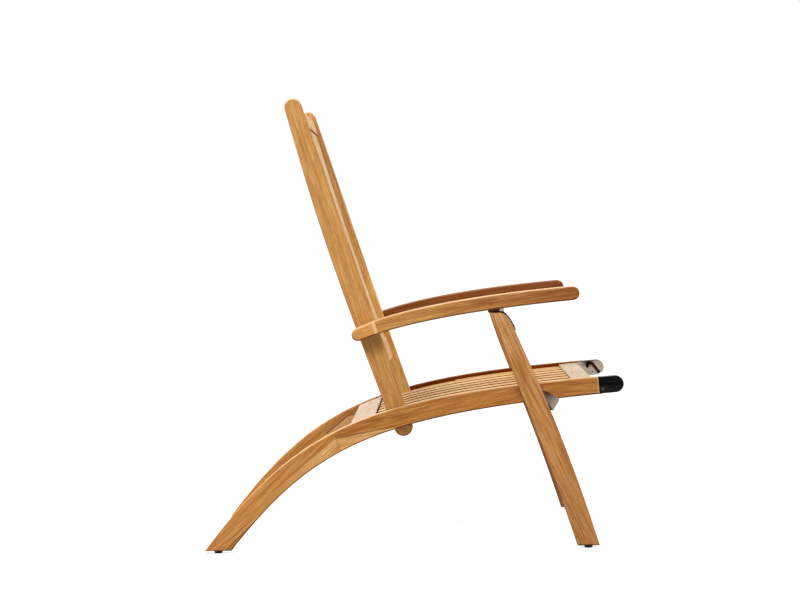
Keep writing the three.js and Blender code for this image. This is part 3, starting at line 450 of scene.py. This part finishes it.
def jointed_rail_teak(name, shift, top, rear_glue):
    """Teak glued up from planks: grain, tone and the dark glue lines change at the joints."""
    material, tree, output = new_material(name)
    place = object_place(tree)
    x, z = place["X"], place["Z"]
    over_joint = height_over(tree, place, FIRST_JOINT, JOINT_SLOPE)
    over_rear = height_over(tree, place, FIRST_JOINT, LET_IN_REAR_SLOPE)
    over_front = height_over(tree, place, FIRST_JOINT, LET_IN_FRONT_SLOPE)
    over_foot = height_over(tree, place, FOOT_JOINT, FOOT_JOINT_SLOPE)

    # Each zone of the side view is one inside and nothing outside
    behind = calculate(tree, "GREATER_THAN", over_joint)
    ahead = calculate(tree, "SUBTRACT", 1.0, behind)
    front = calculate(tree, "GREATER_THAN", x, FRONT_JOINT_X)
    middle = product(tree, ahead, calculate(tree, "LESS_THAN", x, LET_IN_END_X))
    foot = calculate(tree, "LESS_THAN", x, FOOT_JOINT_END_X)
    rear_block = product(
        tree, behind, calculate(tree, "LESS_THAN", over_rear),
        remap(tree, x, LET_IN_START_X, LET_IN_START_X + LET_IN_FADE))
    middle_block = product(tree, middle, calculate(tree, "LESS_THAN", over_front))
    foot_block = product(tree, foot, calculate(tree, "LESS_THAN", over_foot))
    paler = calculate(tree, "ADD", rear_block, middle_block)

    # The grain follows each plank, and each plank has its own number and place in the pattern
    turn = remap(tree, behind, 0.0, 1.0, math.radians(MIDDLE_SLOPE), math.radians(REAR_SLOPE))
    levelled = product(tree, front, math.radians(MIDDLE_SLOPE - FRONT_SLOPE))
    plank = behind
    for zone, number in ((front, 2), (paler, 4), (foot_block, 6)):
        plank = calculate(tree, "ADD", plank, product(tree, zone, number))
    turned = add(tree, "ShaderNodeVectorRotate", {
        "Vector": add(tree, "ShaderNodeTexCoord").outputs["Object"],
        "Angle": calculate(tree, "SUBTRACT", turn, levelled),
    }, rotation_type="Y_AXIS")
    own_place = add(tree, "ShaderNodeCombineXYZ", {
        0: product(tree, plank, PLANK_SHIFT),
        1: shift,
        2: plank,
    })
    grain = add(tree, "ShaderNodeVectorMath", {
        0: turned.outputs[0],
        1: own_place.outputs[0],
    }, operation="ADD").outputs[0]
    planks = teak_colour(tree, grain, RAIL_TONES, RAIL_REDNESS)
    tinted = blend_colours(tree, ahead, planks, linear(AHEAD_TINT), "MULTIPLY")
    let_in = teak_colour(tree, grain, LET_IN_TONES, LET_IN_REDNESS)
    colour = blend_colours(tree, paler, tinted, let_in)

    # Each glue line has the zone that it runs in, and how dark it is
    below = calculate(tree, "LESS_THAN", z, FIRST_JOINT[1])
    rear = product(tree, behind, calculate(tree, "GREATER_THAN", x, REAR_LINE_END_X))
    glue = 0.0
    for over, zone, share in (
        (over_front, middle, FRONT_GLUE),
        (over_foot, foot, FRONT_GLUE),
        (over_rear, rear, rear_glue),
        (over_joint, below, SHORT_GLUE),
    ):
        away = calculate(tree, "ABSOLUTE", over)
        line = product(tree, remap(tree, away, GLUE_LINE, GLUE_LINE * 2, share, 0.0), zone)
        glue = calculate(tree, "MAXIMUM", line, glue)
    colour = blend_colours(tree, glue, colour, linear(GLUE_BROWN))

    # Painted shade on the inner faces in the corner above the slats
    inner = calculate(tree, "LESS_THAN", calculate(tree, "ABSOLUTE", place["Y"]), LEDGE_INNER_Y)
    ledge_shade = product(tree, inner, calculate(tree, "GREATER_THAN", x, LEDGE_START_X))
    colour = blend_colours(tree, ledge_shade, colour, linear(LEDGE_PAINTED_SHADE), "MULTIPLY")
    # A painted highlight along the edge of the rail's end
    to_end = calculate(tree, "ADD", x, product(tree, z, RAIL_END_LEAN))
    arris_start = RAIL_END - RAIL_ARRIS
    arris_highlight = remap(tree, to_end, arris_start, arris_start + RAIL_ARRIS_FADE, 0.0, RAIL_ARRIS_SHARE)
    colour = blend_colours(tree, arris_highlight, colour, linear(RAIL_ARRIS_HIGHLIGHT))
    gloss = remap(tree, ledge_shade, 0.0, 1.0, TEAK_GLOSS, 0.0)
    finish_teak(tree, output, grain, colour, top, gloss)
    return material


rail_teaks = {
    "right": jointed_rail_teak("right_rail_glued_teak", shift=0.11, top=PAINTED_TOP_HIGHLIGHT, rear_glue=0.15),
    "left": jointed_rail_teak("left_rail_glued_teak", shift=1.7, top=PAINTED_TOP_SHADE, rear_glue=0.8),
}
for side, material in rail_teaks.items():
    dress(f"{side}_seat_rail", material)


# Seat crossrails and the bearer under the slats: short teak boards across the chair, tenoned
# into the rails. The two that show are of paler wood, planed clean, with the grain along Y.
def turned_grain(tree, turn, shift):
    """Object coordinates turned so that their X runs along the grain, in metres."""
    coordinates = add(tree, "ShaderNodeTexCoord")
    turned = add(tree, "ShaderNodeMapping", {
        "Vector": coordinates.outputs["Object"],
        "Rotation": turn,
        "Location": shift,
    }, vector_type="POINT")
    return turned.outputs["Vector"]


def graded(tree, colour, axis, full, none, tint):
    """The colour with a tint that is full at one place along an axis and gone at the other."""
    share = remap(tree, object_place(tree)[axis], full, none, 1.0, 0.0)
    return blend_colours(tree, share, colour, linear(tint), "MULTIPLY")


END_HIGHLIGHT_FADE = 0.003
END_HIGHLIGHT_SHARE = 0.8


def straight_teak(name, turn, shift, tones, redness=TEAK_REDNESS,
                  top=None, grades=(), end_highlight=None):
    """Teak cut from one plank: turn lays the grain, and shift sets the plank's own pattern."""
    material, tree, output = new_material(name)
    grain = turned_grain(tree, turn, shift)
    colour = teak_colour(tree, grain, tones, redness)
    for grade in grades:
        colour = graded(tree, colour, *grade)
    # A painted highlight along one end of the piece, where one is given
    if end_highlight:
        through, degrees, breadth, pale = end_highlight
        over = height_over(tree, object_place(tree), through, degrees)
        share = remap(tree, over, breadth, breadth + END_HIGHLIGHT_FADE, END_HIGHLIGHT_SHARE, 0.0)
        colour = blend_colours(tree, share, colour, linear(pale))
    finish_teak(tree, output, grain, colour, top)
    return material


ACROSS = (0, 0, math.radians(-90))
crossrail_teak = straight_teak(
    "pale_crossrail_teak", ACROSS, (0.2, 0.5, 0.1), ("#ad967c", "#b7a490", "#c1b5a4"), redness=0.12)
bearer_teak = straight_teak(
    "bearer_teak", ACROSS, (0.7, 0.1, 0.3), ("#a8703a", "#c18a4e", "#d9a768"))
dress("rear_seat_crossrail", crossrail_teak)
dress("front_seat_crossrail", crossrail_teak)
dress("seat_bearer", bearer_teak)


# Seat slats: six wide strips of teak bent along the rails' upper edge, 20 mm apart, and two
# narrow ones at the sides with a slot for the stiles. Their ends lie on the crossrails.
def slat_row_tree():
    """A tree that bends one slat along the given line and repeats it across the chair."""
    tree = bpy.data.node_groups.new("slat_row", "GeometryNodeTree")
    for name, kind in (
        ("Slat Line", "Geometry"),
        ("Slats", "Int"),
        ("Pitch", "Float"),
        ("Slat Width", "Float"),
        ("Slat Thickness", "Float"),
        ("Edge Radius", "Float"),
        ("Edge Steps", "Int"),
        ("Finish", "Material"),
    ):
        tree.interface.new_socket(name, in_out="INPUT", socket_type=f"NodeSocket{kind}")
    tree.interface.new_socket("Slat Row", in_out="OUTPUT", socket_type="NodeSocketGeometry")
    given = add(tree, "NodeGroupInput").outputs
    line = add(tree, "GeometryNodeMeshToCurve", {0: given["Slat Line"]})
    level_line = add(tree, "GeometryNodeSetCurveNormal", {"Curve": line.outputs[0]}, mode="Z_UP")
    reach = add(tree, "GeometryNodeSplineParameter")
    measured = add(tree, "GeometryNodeStoreNamedAttribute", {
        "Geometry": level_line.outputs[0],
        "Name": "along",
        "Value": reach.outputs["Length"],
    }, data_type="FLOAT", domain="POINT")
    section = add(tree, "GeometryNodeCurvePrimitiveQuadrilateral", {
        "Width": given["Slat Width"],
        "Height": given["Slat Thickness"],
    })
    rounded = add(tree, "GeometryNodeFilletCurve", {
        "Curve": section.outputs[0],
        "Radius": given["Edge Radius"],
        "Count": given["Edge Steps"],
    }, mode="POLY")
    slat = add(tree, "GeometryNodeCurveToMesh", {
        "Curve": measured.outputs[0],
        "Profile Curve": rounded.outputs[0],
        "Fill Caps": True,
    })
    # The row is centred on the middle of the chair
    gaps = calculate(tree, "SUBTRACT", given["Slats"], 1.0)
    first_y = product(tree, gaps, given["Pitch"], -0.5)
    start = add(tree, "ShaderNodeCombineXYZ", {"Y": first_y})
    step = add(tree, "ShaderNodeCombineXYZ", {"Y": given["Pitch"]})
    row = add(tree, "GeometryNodeMeshLine", {
        "Count": given["Slats"],
        "Start Location": start.outputs[0],
        "Offset": step.outputs[0],
    }, mode="OFFSET")
    placed = add(tree, "GeometryNodeInstanceOnPoints", {
        "Points": row.outputs[0],
        "Instance": slat.outputs[0],
    })
    number = add(tree, "GeometryNodeInputIndex")
    numbered = add(tree, "GeometryNodeStoreNamedAttribute", {
        "Geometry": placed.outputs[0],
        "Name": "board",
        "Value": number.outputs[0],
    }, data_type="FLOAT", domain="INSTANCE")
    real = add(tree, "GeometryNodeRealizeInstances", {"Geometry": numbered.outputs[0]})
    finished = add(tree, "GeometryNodeSetMaterial", {
        "Geometry": real.outputs[0],
        "Material": given["Finish"],
    })
    add(tree, "NodeGroupOutput", {0: finished.outputs[0]})
    return tree


slat_row = slat_row_tree()
PROFILE_SHARP_ANGLE = math.radians(40)


def plain_mesh(name, carrier):
    """The evaluated result of a carrier's modifiers as a plain mesh object; the carrier goes."""
    bpy.context.view_layer.update()
    evaluated = carrier.evaluated_get(bpy.context.evaluated_depsgraph_get())
    mesh = bpy.data.meshes.new_from_object(evaluated)
    carrier.modifiers.clear()
    bpy.data.objects.remove(carrier)
    mesh.name = name
    mesh.shade_smooth()
    mesh.set_sharp_from_angle(angle=PROFILE_SHARP_ANGLE)
    made = bpy.data.objects.new(name, mesh)
    scene.collection.objects.link(made)
    return made


def slats_along(name, line, sizes, material):
    """A row of slats bent along a line of points in the side view."""
    mesh = bpy.data.meshes.new(name)
    edges = [(index, index + 1) for index in range(len(line) - 1)]
    mesh.from_pydata([(x, 0, z) for x, z in line], edges, [])
    carrier = bpy.data.objects.new(name, mesh)
    scene.collection.objects.link(carrier)
    modifier = carrier.modifiers.new("slats", "NODES")
    modifier.node_group = slat_row
    for key, value in sizes.items():
        set_input(modifier, key, value)
    set_input(modifier, "Finish", material)
    return plain_mesh(name, carrier)


def beside_curve(handles, depths, start, end, offset, steps):
    """Points beside a board's curved centre line, as (x, z): offset takes the depth at each."""
    handles = np.array(handles)
    points = []
    for t in np.linspace(start, end, steps):
        shares = np.array([(1 - t) ** 3, 3 * t * (1 - t) ** 2, 3 * t ** 2 * (1 - t), t ** 3])
        rates = np.array([-(1 - t) ** 2, (1 - t) * (1 - 3 * t), t * (2 - 3 * t), t ** 2])
        centre, direction = shares @ handles, rates @ handles
        direction /= np.linalg.norm(direction)
        depth = depths[0] * (1 - t) ** 2 + 2 * depths[1] * t * (1 - t) + depths[2] * t ** 2
        points.append(centre + offset(depth) * np.array([-direction[1], direction[0]]))
    return points


# The rail's centre line and depths, where along it the slats begin and end, and how far they
# lie below its upper edge
RAIL_LINE = ((-0.43555, 0.005), (-0.23566, 0.25623), (-0.08235, 0.31799), (0.41145, 0.352))
RAIL_DEPTHS = (0.047, 0.047, 0.038)
SEAT_SLAT_SPAN = (0.54959, 0.96136)
SEAT_SLAT_DROP = 0.008
SEAT_SLAT_THICKNESS = 0.012
SEAT_SLAT_WIDTH = 0.046
SEAT_SLAT_PITCH = 0.066
SEAT_SLAT_TONES = ("#cc9b5c", "#dbaf73", "#e9c78f")
SLATS = 6
SLAT_EDGE_RADIUS = 0.0012
SLAT_EDGE_STEPS = 4
LINE_STEPS = 33
# How far a slat's pattern is moved for each number, and how much darker a slat may be than another
SLAT_SHIFT = 1.31
SLAT_TONE_SPREAD = 0.35
# The sides of the seat slats get a painted shade, dull and brown, for the shade in the gaps between
# them
SLAT_SIDE_SHADE = "#5c3315"
# How far across the chair a face looks before it counts as a side
SIDE_START = 0.25
SIDE_FULL = 0.6


def slat_teak(name, shift, tones, redness, side_shade):
    """Teak of bent slats: the grain follows each slat, and no two slats are from one board."""
    material, tree, output = new_material(name)
    along = add(tree, "ShaderNodeAttribute", attribute_type="GEOMETRY", attribute_name="along")
    board = add(tree, "ShaderNodeAttribute", attribute_type="GEOMETRY", attribute_name="board")
    own_start = product(tree, board.outputs["Fac"], SLAT_SHIFT)
    grain = add(tree, "ShaderNodeCombineXYZ", {
        0: calculate(tree, "ADD", along.outputs["Fac"], own_start),
        1: object_place(tree)["Y"],
        2: calculate(tree, "ADD", own_start, shift),
    }).outputs[0]
    colour = teak_colour(tree, grain, tones, redness)
    own_tone = add(
        tree, "ShaderNodeTexWhiteNoise", {"W": board.outputs["Fac"]}, noise_dimensions="1D")
    deeper = product(tree, own_tone.outputs["Value"], SLAT_TONE_SPREAD)
    colour = blend_colours(tree, deeper, colour, linear(tones[0]), "MULTIPLY")
    # The slats' sides get a painted shade in the given tint, and lose their gloss
    across = calculate(tree, "ABSOLUTE", face_direction(tree)["Y"])
    side_face = remap(tree, across, SIDE_START, SIDE_FULL)
    colour = blend_colours(tree, side_face, colour, linear(side_shade), "MULTIPLY")
    gloss = remap(tree, side_face, 0.0, 1.0, TEAK_GLOSS, 0.0)
    finish_teak(tree, output, grain, colour, gloss=gloss)
    return material


seat_slat_teak = slat_teak(
    "seat_slat_teak", shift=0.3, tones=SEAT_SLAT_TONES, redness=0.3, side_shade=SLAT_SIDE_SHADE)
seat_slat_line = beside_curve(
    RAIL_LINE, RAIL_DEPTHS, *SEAT_SLAT_SPAN,
    lambda depth: depth / 2 - SEAT_SLAT_DROP - SEAT_SLAT_THICKNESS / 2, LINE_STEPS)
seat_slats = slats_along("seat_slats", seat_slat_line, {
    "Slats": SLATS,
    "Pitch": SEAT_SLAT_PITCH,
    "Slat Width": SEAT_SLAT_WIDTH,
    "Slat Thickness": SEAT_SLAT_THICKNESS,
    "Edge Radius": SLAT_EDGE_RADIUS,
    "Edge Steps": SLAT_EDGE_STEPS,
}, seat_slat_teak)
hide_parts(*[f"seat_slat_{index}" for index in range(1, 7)])
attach(seat_slats, "seat_frame")
SIDES = ("right", "left")
outer_slat_teak = straight_teak(
    "outer_seat_slat_teak", slope(MIDDLE_SLOPE), (0.4, 0.2, 0.1),
    ("#c29153", "#d3a66a", "#dfbb85"), redness=0.3)
for side in SIDES:
    dress(f"{side}_outer_seat_slat", outer_slat_teak)


# Back stiles: two long boards, widest at the armrests, round at both ends, sawn from straight
# planks with the grain running up. Their bolts to the rails are put in from inside the seat.
STILE_SLOPE = 107
# Under the seat the stiles' lower ends get a painted shade, a little browner
STILE_END_SHADE = ("Z", 0.262, 0.285, "#fff0dc")
# The left stile is paler, but darkens towards its top
LEFT_STILE_TOP = ("Z", 0.85, 0.5, "#dad0d7")
stile_teaks = {
    "right": straight_teak(
        "right_stile_teak", slope(STILE_SLOPE), (0.1, 0.6, 0.2), ("#b57b39", "#ce9551", "#dfaf6c"),
        redness=0.45, top=PAINTED_TOP_HIGHLIGHT, grades=[STILE_END_SHADE]),
    "left": straight_teak(
        "left_stile_teak", slope(STILE_SLOPE), (0.1, 0.9, 0.2), ("#d59b4c", "#f1bb6a", "#ffdc8d"),
        redness=0.3, top=PAINTED_TOP_SHADE, grades=[STILE_END_SHADE, LEFT_STILE_TOP]),
}
for side, material in stile_teaks.items():
    dress(f"{side}_back_stile", material)


# Top and bottom rails of the back: pale teak across the chair, tenoned into the stiles, each
# with a groove that takes the slats' tongues.
back_rail_teak = straight_teak(
    "back_rail_teak", ACROSS, (0.5, 0.9, 0.1), ("#e7a869", "#f9bf83", "#ffd39b"), redness=0.2)
dress("back_top_rail", back_rail_teak)
dress("back_bottom_rail", back_rail_teak)


# Back slats: six planed strips of pale teak, bent like the stiles and set a little forward of
# their middle. Their ends are tongues that are glued into the grooves of the two rails.

# The stile's centre line and depths, and where along it the slats begin and end
STILE_LINE = ((-0.01955, 0.26835), (-0.14312, 0.62385), (-0.18281, 0.76534), (-0.24505, 0.97935))
STILE_DEPTHS = (0.0415, 0.056, 0.037)
BACK_SLAT_SPAN = (0.16888, 0.95061)
BACK_SLAT_FORWARD = 0.003
BACK_SLAT_WIDTH = 0.06003
BACK_SLAT_PITCH = 0.07143
BACK_SLAT_THICKNESS = 0.01
BACK_SLAT_TONES = ("#ffcc9b", "#ffe0b4", "#fff4d0")
# The back slats' sides are planed, and get only a light painted shade, so they stay nearly as pale
# as their faces
BACK_SLAT_SIDE_SHADE = "#e2b88c"
back_slat_teak = slat_teak(
    "back_slat_teak", shift=5.1, tones=BACK_SLAT_TONES, redness=0.12, side_shade=BACK_SLAT_SIDE_SHADE)
back_slat_line = beside_curve(
    STILE_LINE, STILE_DEPTHS, *BACK_SLAT_SPAN, lambda depth: -BACK_SLAT_FORWARD, LINE_STEPS)
back_slats = slats_along("back_slats", back_slat_line, {
    "Slats": SLATS,
    "Pitch": BACK_SLAT_PITCH,
    "Slat Width": BACK_SLAT_WIDTH,
    "Slat Thickness": BACK_SLAT_THICKNESS,
    "Edge Radius": SLAT_EDGE_RADIUS,
    "Edge Steps": SLAT_EDGE_STEPS,
}, back_slat_teak)
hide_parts(*[f"back_slat_{index}" for index in range(1, 7)])
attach(back_slats, "back")


# Armrests: long boards curved along their length, with a paler cheek lapped over the rear end
# and a round wood plug glued over the bolt. The boards grow darker and redder to the front.
ARM_SLOPE = 8
ARM_REAR = -0.12
ARM_FRONT = 0.35
RIGHT_ARM_FRONT = ("X", ARM_FRONT, ARM_REAR, "#b9997a")
LEFT_ARM_FRONT = ("X", ARM_FRONT, ARM_REAR, "#f4e6dc")
arm_teaks = {
    "right": straight_teak(
        "right_arm_teak", slope(ARM_SLOPE), (0.2, 0.2, 0.9), ("#c07f3c", "#dca155", "#f0bf76"),
        redness=0.7, top=PAINTED_TOP_HIGHLIGHT, grades=[RIGHT_ARM_FRONT]),
    "left": straight_teak(
        "left_arm_teak", slope(ARM_SLOPE), (0.9, 0.5, 0.4), ("#703a0b", "#844a12", "#955d1d"),
        redness=0.7, top=PAINTED_TOP_SHADE, grades=[LEFT_ARM_FRONT]),
}
# The cheek ends in line with the stile's front edge, and a painted highlight lies beside that end,
# where its eased edge catches the light: a point and the slope of the end in the side view, the
# highlight's breadth, and its colour
CHEEK_SLOPE = 20
CHEEK_END_HIGHLIGHT = ((-0.0668, 0.4784), 108.4, 0.006, "#f7c688")
cheek_teak = straight_teak(
    "cheek_teak", slope(CHEEK_SLOPE), (0.6, 0.4, 0.3), ("#cc8c4a", "#db9e5b", "#e7ae70"),
    redness=0.15, top=PAINTED_TOP_HIGHLIGHT, end_highlight=CHEEK_END_HIGHLIGHT)
# The plugs are cut across a plank, with their grain through the board
THROUGH = (math.radians(90), 0, 0)
plug_teak = straight_teak(
    "plug_teak", THROUGH, (0.6, 0.4, 0.3), ("#d99a58", "#e5a867", "#eeb97d"), redness=0.1)
for side in SIDES:
    dress(f"{side}_armrest", arm_teaks[side])
    dress(f"{side}_arm_cheek", cheek_teak)
    dress(f"{side}_arm_plug", plug_teak)


# Front legs: curved boards outside the rails, sawn from one plank each, with a plug of the
# same wood over the bolt that they turn on.
LEG_SLOPE = -66
# The legs are a little redder towards their tops
LEG_TOP = ("Z", 0.41, 0.48, "#f8ead5")
leg_teak = straight_teak(
    "leg_teak", slope(LEG_SLOPE), (0.8, 0.2, 0.2), ("#b77c44", "#d09a60", "#e6b984"),
    redness=0.6, grades=[LEG_TOP])
for side in SIDES:
    dress(f"{side}_front_leg", leg_teak)
    dress(f"{side}_leg_plug", leg_teak)


# Bolts and washers: stainless steel turned on a lathe, bright, with the fine marks of the tool. A
# bolt holds each pair of boards that turn on each other, and a washer parts each leg and rail.

# Real tool and brush marks are some 0.05 mm wide. On every steel piece here they are drawn 0.6 to
# 0.8 mm wide, or they would not show at this distance.
TURNED_LENGTH = 0.004
TURNED_BREADTH = 0.0006
STEEL_SPREAD = 0.14
# How far across the chair a face looks, from where it counts as an edge to where it is flat
LEVEL_START = 0.3
LEVEL_FULL = 0.7


def near_spot(tree, spot, core, reach):
    """One inside a spot of the side view, fading to nothing at its reach, all in metres."""
    place = object_place(tree)
    flat = add(tree, "ShaderNodeCombineXYZ", {0: place["X"], 2: place["Z"]})
    away = add(tree, "ShaderNodeVectorMath", {
        0: flat.outputs[0],
        1: (spot[0], 0, spot[1]),
    }, operation="DISTANCE")
    return remap(tree, away.outputs["Value"], core, reach, 1.0, 0.0)


def brushed_metal(name, colour, mark_colour, roughness, mark_length, mark_breadth,
                  wear_and_shade_spot=None, edges=None, metallic=1.0):
    """Steel with fine parallel marks, and if wanted a spot and darker edges.

    A spot is wear on the hinge ends, and painted shade and painted reflection on the other pieces:
    its middle in the side view, how far it is full, how far it reaches, and its colour.
    """
    material, tree, output = new_material(name)
    grain = add(tree, "ShaderNodeTexCoord").outputs["Object"]
    marks = stretched_noise(tree, grain, mark_length, mark_breadth)
    marked = remap(tree, marks, *NOISE_RANGE)
    face = blend_colours(tree, marked, linear(colour), linear(mark_colour))
    # The spot: wear on the hinge ends, painted shade and reflection on the others
    if wear_and_shade_spot:
        spot, core, reach, spot_colour = wear_and_shade_spot
        face = blend_colours(tree, near_spot(tree, spot, core, reach), face, linear(spot_colour))
    if edges:
        across = calculate(tree, "ABSOLUTE", face_direction(tree)["Y"])
        level = remap(tree, across, LEVEL_START, LEVEL_FULL)
        face = blend_colours(tree, level, linear(edges), face)
    shader = add(tree, "ShaderNodeBsdfPrincipled", {
        "Base Color": face,
        "Metallic": metallic,
        "Specular Tint": face,
        "Roughness": remap(tree, marks, *NOISE_RANGE, roughness, roughness + STEEL_SPREAD),
    })
    tree.links.new(shader.outputs["BSDF"], output.inputs["Surface"])
    return material


turned_steel = brushed_metal(
    "turned_stainless_steel", "#d0c6bb", "#8f857b",
    roughness=0.3, mark_length=TURNED_LENGTH, mark_breadth=TURNED_BREADTH)
for side in SIDES:
    for piece in ("back_pivot_bolt", "leg_pivot_bolt", "arm_pivot_bolt", "leg_washer"):
        dress(f"{side}_{piece}", turned_steel)


# Stop brackets: stamped from brushed stainless sheet and screwed to the rails' outer faces, with a
# flange that the legs rest on through a square of black moulded rubber.
# The leg's painted shade and reflection: a brown spot on the bracket beside the leg
BRACKET_LEG_SHADE = ((0.2993, 0.3409), 0.004, 0.028, "#4a372b")
bracket_steel = brushed_metal(
    "brushed_bracket_steel", "#cab7a7", "#948375",
    roughness=0.34, mark_length=0.03, mark_breadth=0.0008, wear_and_shade_spot=BRACKET_LEG_SHADE)
# The skin of moulded rubber and nylon has a mottle some 4 mm across
MOTTLE_SIZE = 0.004
MOTTLE_DETAIL = 3.0
MOTTLE_GREY = "#0c0a09"
MOULDING_SPREAD = 0.08
MOULDING_IOR = 1.5


def black_moulding(name, colour, roughness, gloss):
    """Black moulded plastic or rubber, with a fine mottle in its gloss."""
    material, tree, output = new_material(name)
    place = add(tree, "ShaderNodeTexCoord").outputs["Object"]
    mottle = stretched_noise(tree, place, MOTTLE_SIZE, MOTTLE_SIZE, MOTTLE_DETAIL)
    shader = add(tree, "ShaderNodeBsdfPrincipled", {
        "Base Color": blend_colours(tree, mottle, linear(colour), linear(MOTTLE_GREY)),
        "Roughness": remap(tree, mottle, *NOISE_RANGE, roughness, roughness + MOULDING_SPREAD),
        "IOR": MOULDING_IOR,
        "Specular IOR Level": gloss,
    })
    tree.links.new(shader.outputs["BSDF"], output.inputs["Surface"])
    return material


black_rubber = black_moulding("black_rubber", "#0f0d0c", roughness=0.6, gloss=0.3)
for side in SIDES:
    dress(f"{side}_stop_bracket", bracket_steel)
    dress(f"{side}_stop_buffer", black_rubber)


# Hinges between legs and armrests: a blackened steel strap bent over the leg's rounded head, and
# a browned leaf under the armrest, joined by one pin. The ends of both are rubbed bright.
STRAP_END = ((0.2301, 0.481), 0.003, 0.005, "#a08a74")
LEAF_END = ((0.2049, 0.5227), 0.006, 0.009, "#b5a797")
strap_steel = brushed_metal(
    "blackened_strap_steel", "#0d0705", "#080403",
    roughness=0.4, mark_length=0.02, mark_breadth=0.0006, wear_and_shade_spot=STRAP_END, metallic=0.3)
leaf_steel = brushed_metal(
    "browned_leaf_steel", "#5a2c1e", "#3c1c12",
    roughness=0.4, mark_length=0.02, mark_breadth=0.0006, wear_and_shade_spot=LEAF_END)
for side in SIDES:
    dress(f"{side}_leg_hinge_strap", strap_steel)
    dress(f"{side}_arm_hinge_leaf", leaf_steel)


# Front hooks: a moulded cap of glossy black nylon let into the rail's end, and a plate of brushed
# steel held to its inner face by one screw, both cut by a hooked slot for the bar of a footrest.
# A painted reflection: a dark brown spot on the steel plate
PLATE_DARK_REFLECTION = ((0.426, 0.370), 0.004, 0.02, "#3b2a20")
PLATE_EDGES = "#2b211c"
# The recess for the driver gets a painted shade, a dark spot in the middle of the screw's head
SCREW_DRIVE_SHADE = ((0.4379, 0.3441), 0.0019, 0.0026, "#15100d")
plate_steel = brushed_metal(
    "brushed_plate_steel", "#dccdbf", "#a8988a",
    roughness=0.3, mark_length=0.02, mark_breadth=0.0007, wear_and_shade_spot=PLATE_DARK_REFLECTION, edges=PLATE_EDGES)
screw_steel = brushed_metal(
    "bright_screw_steel", "#f4ece2", "#e2d6c8",
    roughness=0.3, mark_length=TURNED_LENGTH, mark_breadth=TURNED_BREADTH, wear_and_shade_spot=SCREW_DRIVE_SHADE)
gloss_nylon = black_moulding("gloss_black_nylon", "#040305", roughness=0.14, gloss=0.3)

# The cap's outer face is moulded hollow: its normals lean to the middle, by 15 for every metre
CAP_MIDDLE = (0.4373, 0, 0.3545)
CAP_HOLLOW = 15
tree = gloss_nylon.node_tree
nylon_shader = tree.nodes["Principled BSDF"]
nylon_place = add(tree, "ShaderNodeTexCoord").outputs["Object"]
nylon_normal = add(tree, "ShaderNodeNewGeometry").outputs["Normal"]
to_middle = add(tree, "ShaderNodeVectorMath", {0: CAP_MIDDLE, 1: nylon_place}, operation="SUBTRACT")
in_face = add(tree, "ShaderNodeVectorMath", {
    0: to_middle.outputs[0],
    1: (CAP_HOLLOW, 0, CAP_HOLLOW),
}, operation="MULTIPLY")
leaning = add(tree, "ShaderNodeVectorMath", {
    0: nylon_normal,
    1: in_face.outputs[0],
}, operation="ADD")
hollow = add(tree, "ShaderNodeVectorMath", {0: leaning.outputs[0]}, operation="NORMALIZE")
tree.links.new(hollow.outputs[0], nylon_shader.inputs["Normal"])

# Its flat face is polished, and its edges and the slot are dull
CAP_FACE_START = 0.4
CAP_FACE_FULL = 0.9
CAP_EDGE_GLOSS = 0.02
CAP_FACE_GLOSS = 0.13
across = calculate(tree, "ABSOLUTE", face_direction(tree)["Y"])
cap_gloss = remap(
    tree, across, CAP_FACE_START, CAP_FACE_FULL, CAP_EDGE_GLOSS, CAP_FACE_GLOSS)
tree.links.new(cap_gloss, nylon_shader.inputs["Specular IOR Level"])

# Behind the slot the cap gets a brown painted shade, all but its lower end
SLOT_FLOOR_Y = 0.2625
SLOT_SHADE_SPOT = ((0.448, 0.360), 0.012, 0.021)
SLOT_SHADE_BROWN = "#6e3a1b"
from_middle = calculate(tree, "ABSOLUTE", object_place(tree)["Y"])
in_slot = calculate(tree, "LESS_THAN", from_middle, SLOT_FLOOR_Y)
slot_shade = product(tree, in_slot, near_spot(tree, *SLOT_SHADE_SPOT))
bare_nylon = nylon_shader.inputs["Base Color"].links[0].from_socket
shaded_nylon = blend_colours(tree, slot_shade, bare_nylon, linear(SLOT_SHADE_BROWN))
tree.links.new(shaded_nylon, nylon_shader.inputs["Base Color"])
for side in SIDES:
    dress(f"{side}_hook_cap", gloss_nylon)
    dress(f"{side}_hook_plate", plate_steel)
    dress(f"{side}_hook_screw", screw_steel)


# Foot pads: round buttons moulded of black rubber, one under each foot. Each has a stem that is
# pressed into a hole in the wood.
for side in SIDES:
    for piece in ("rear_foot_pad", "front_foot_pad"):
        dress(f"{side}_{piece}", black_rubber)
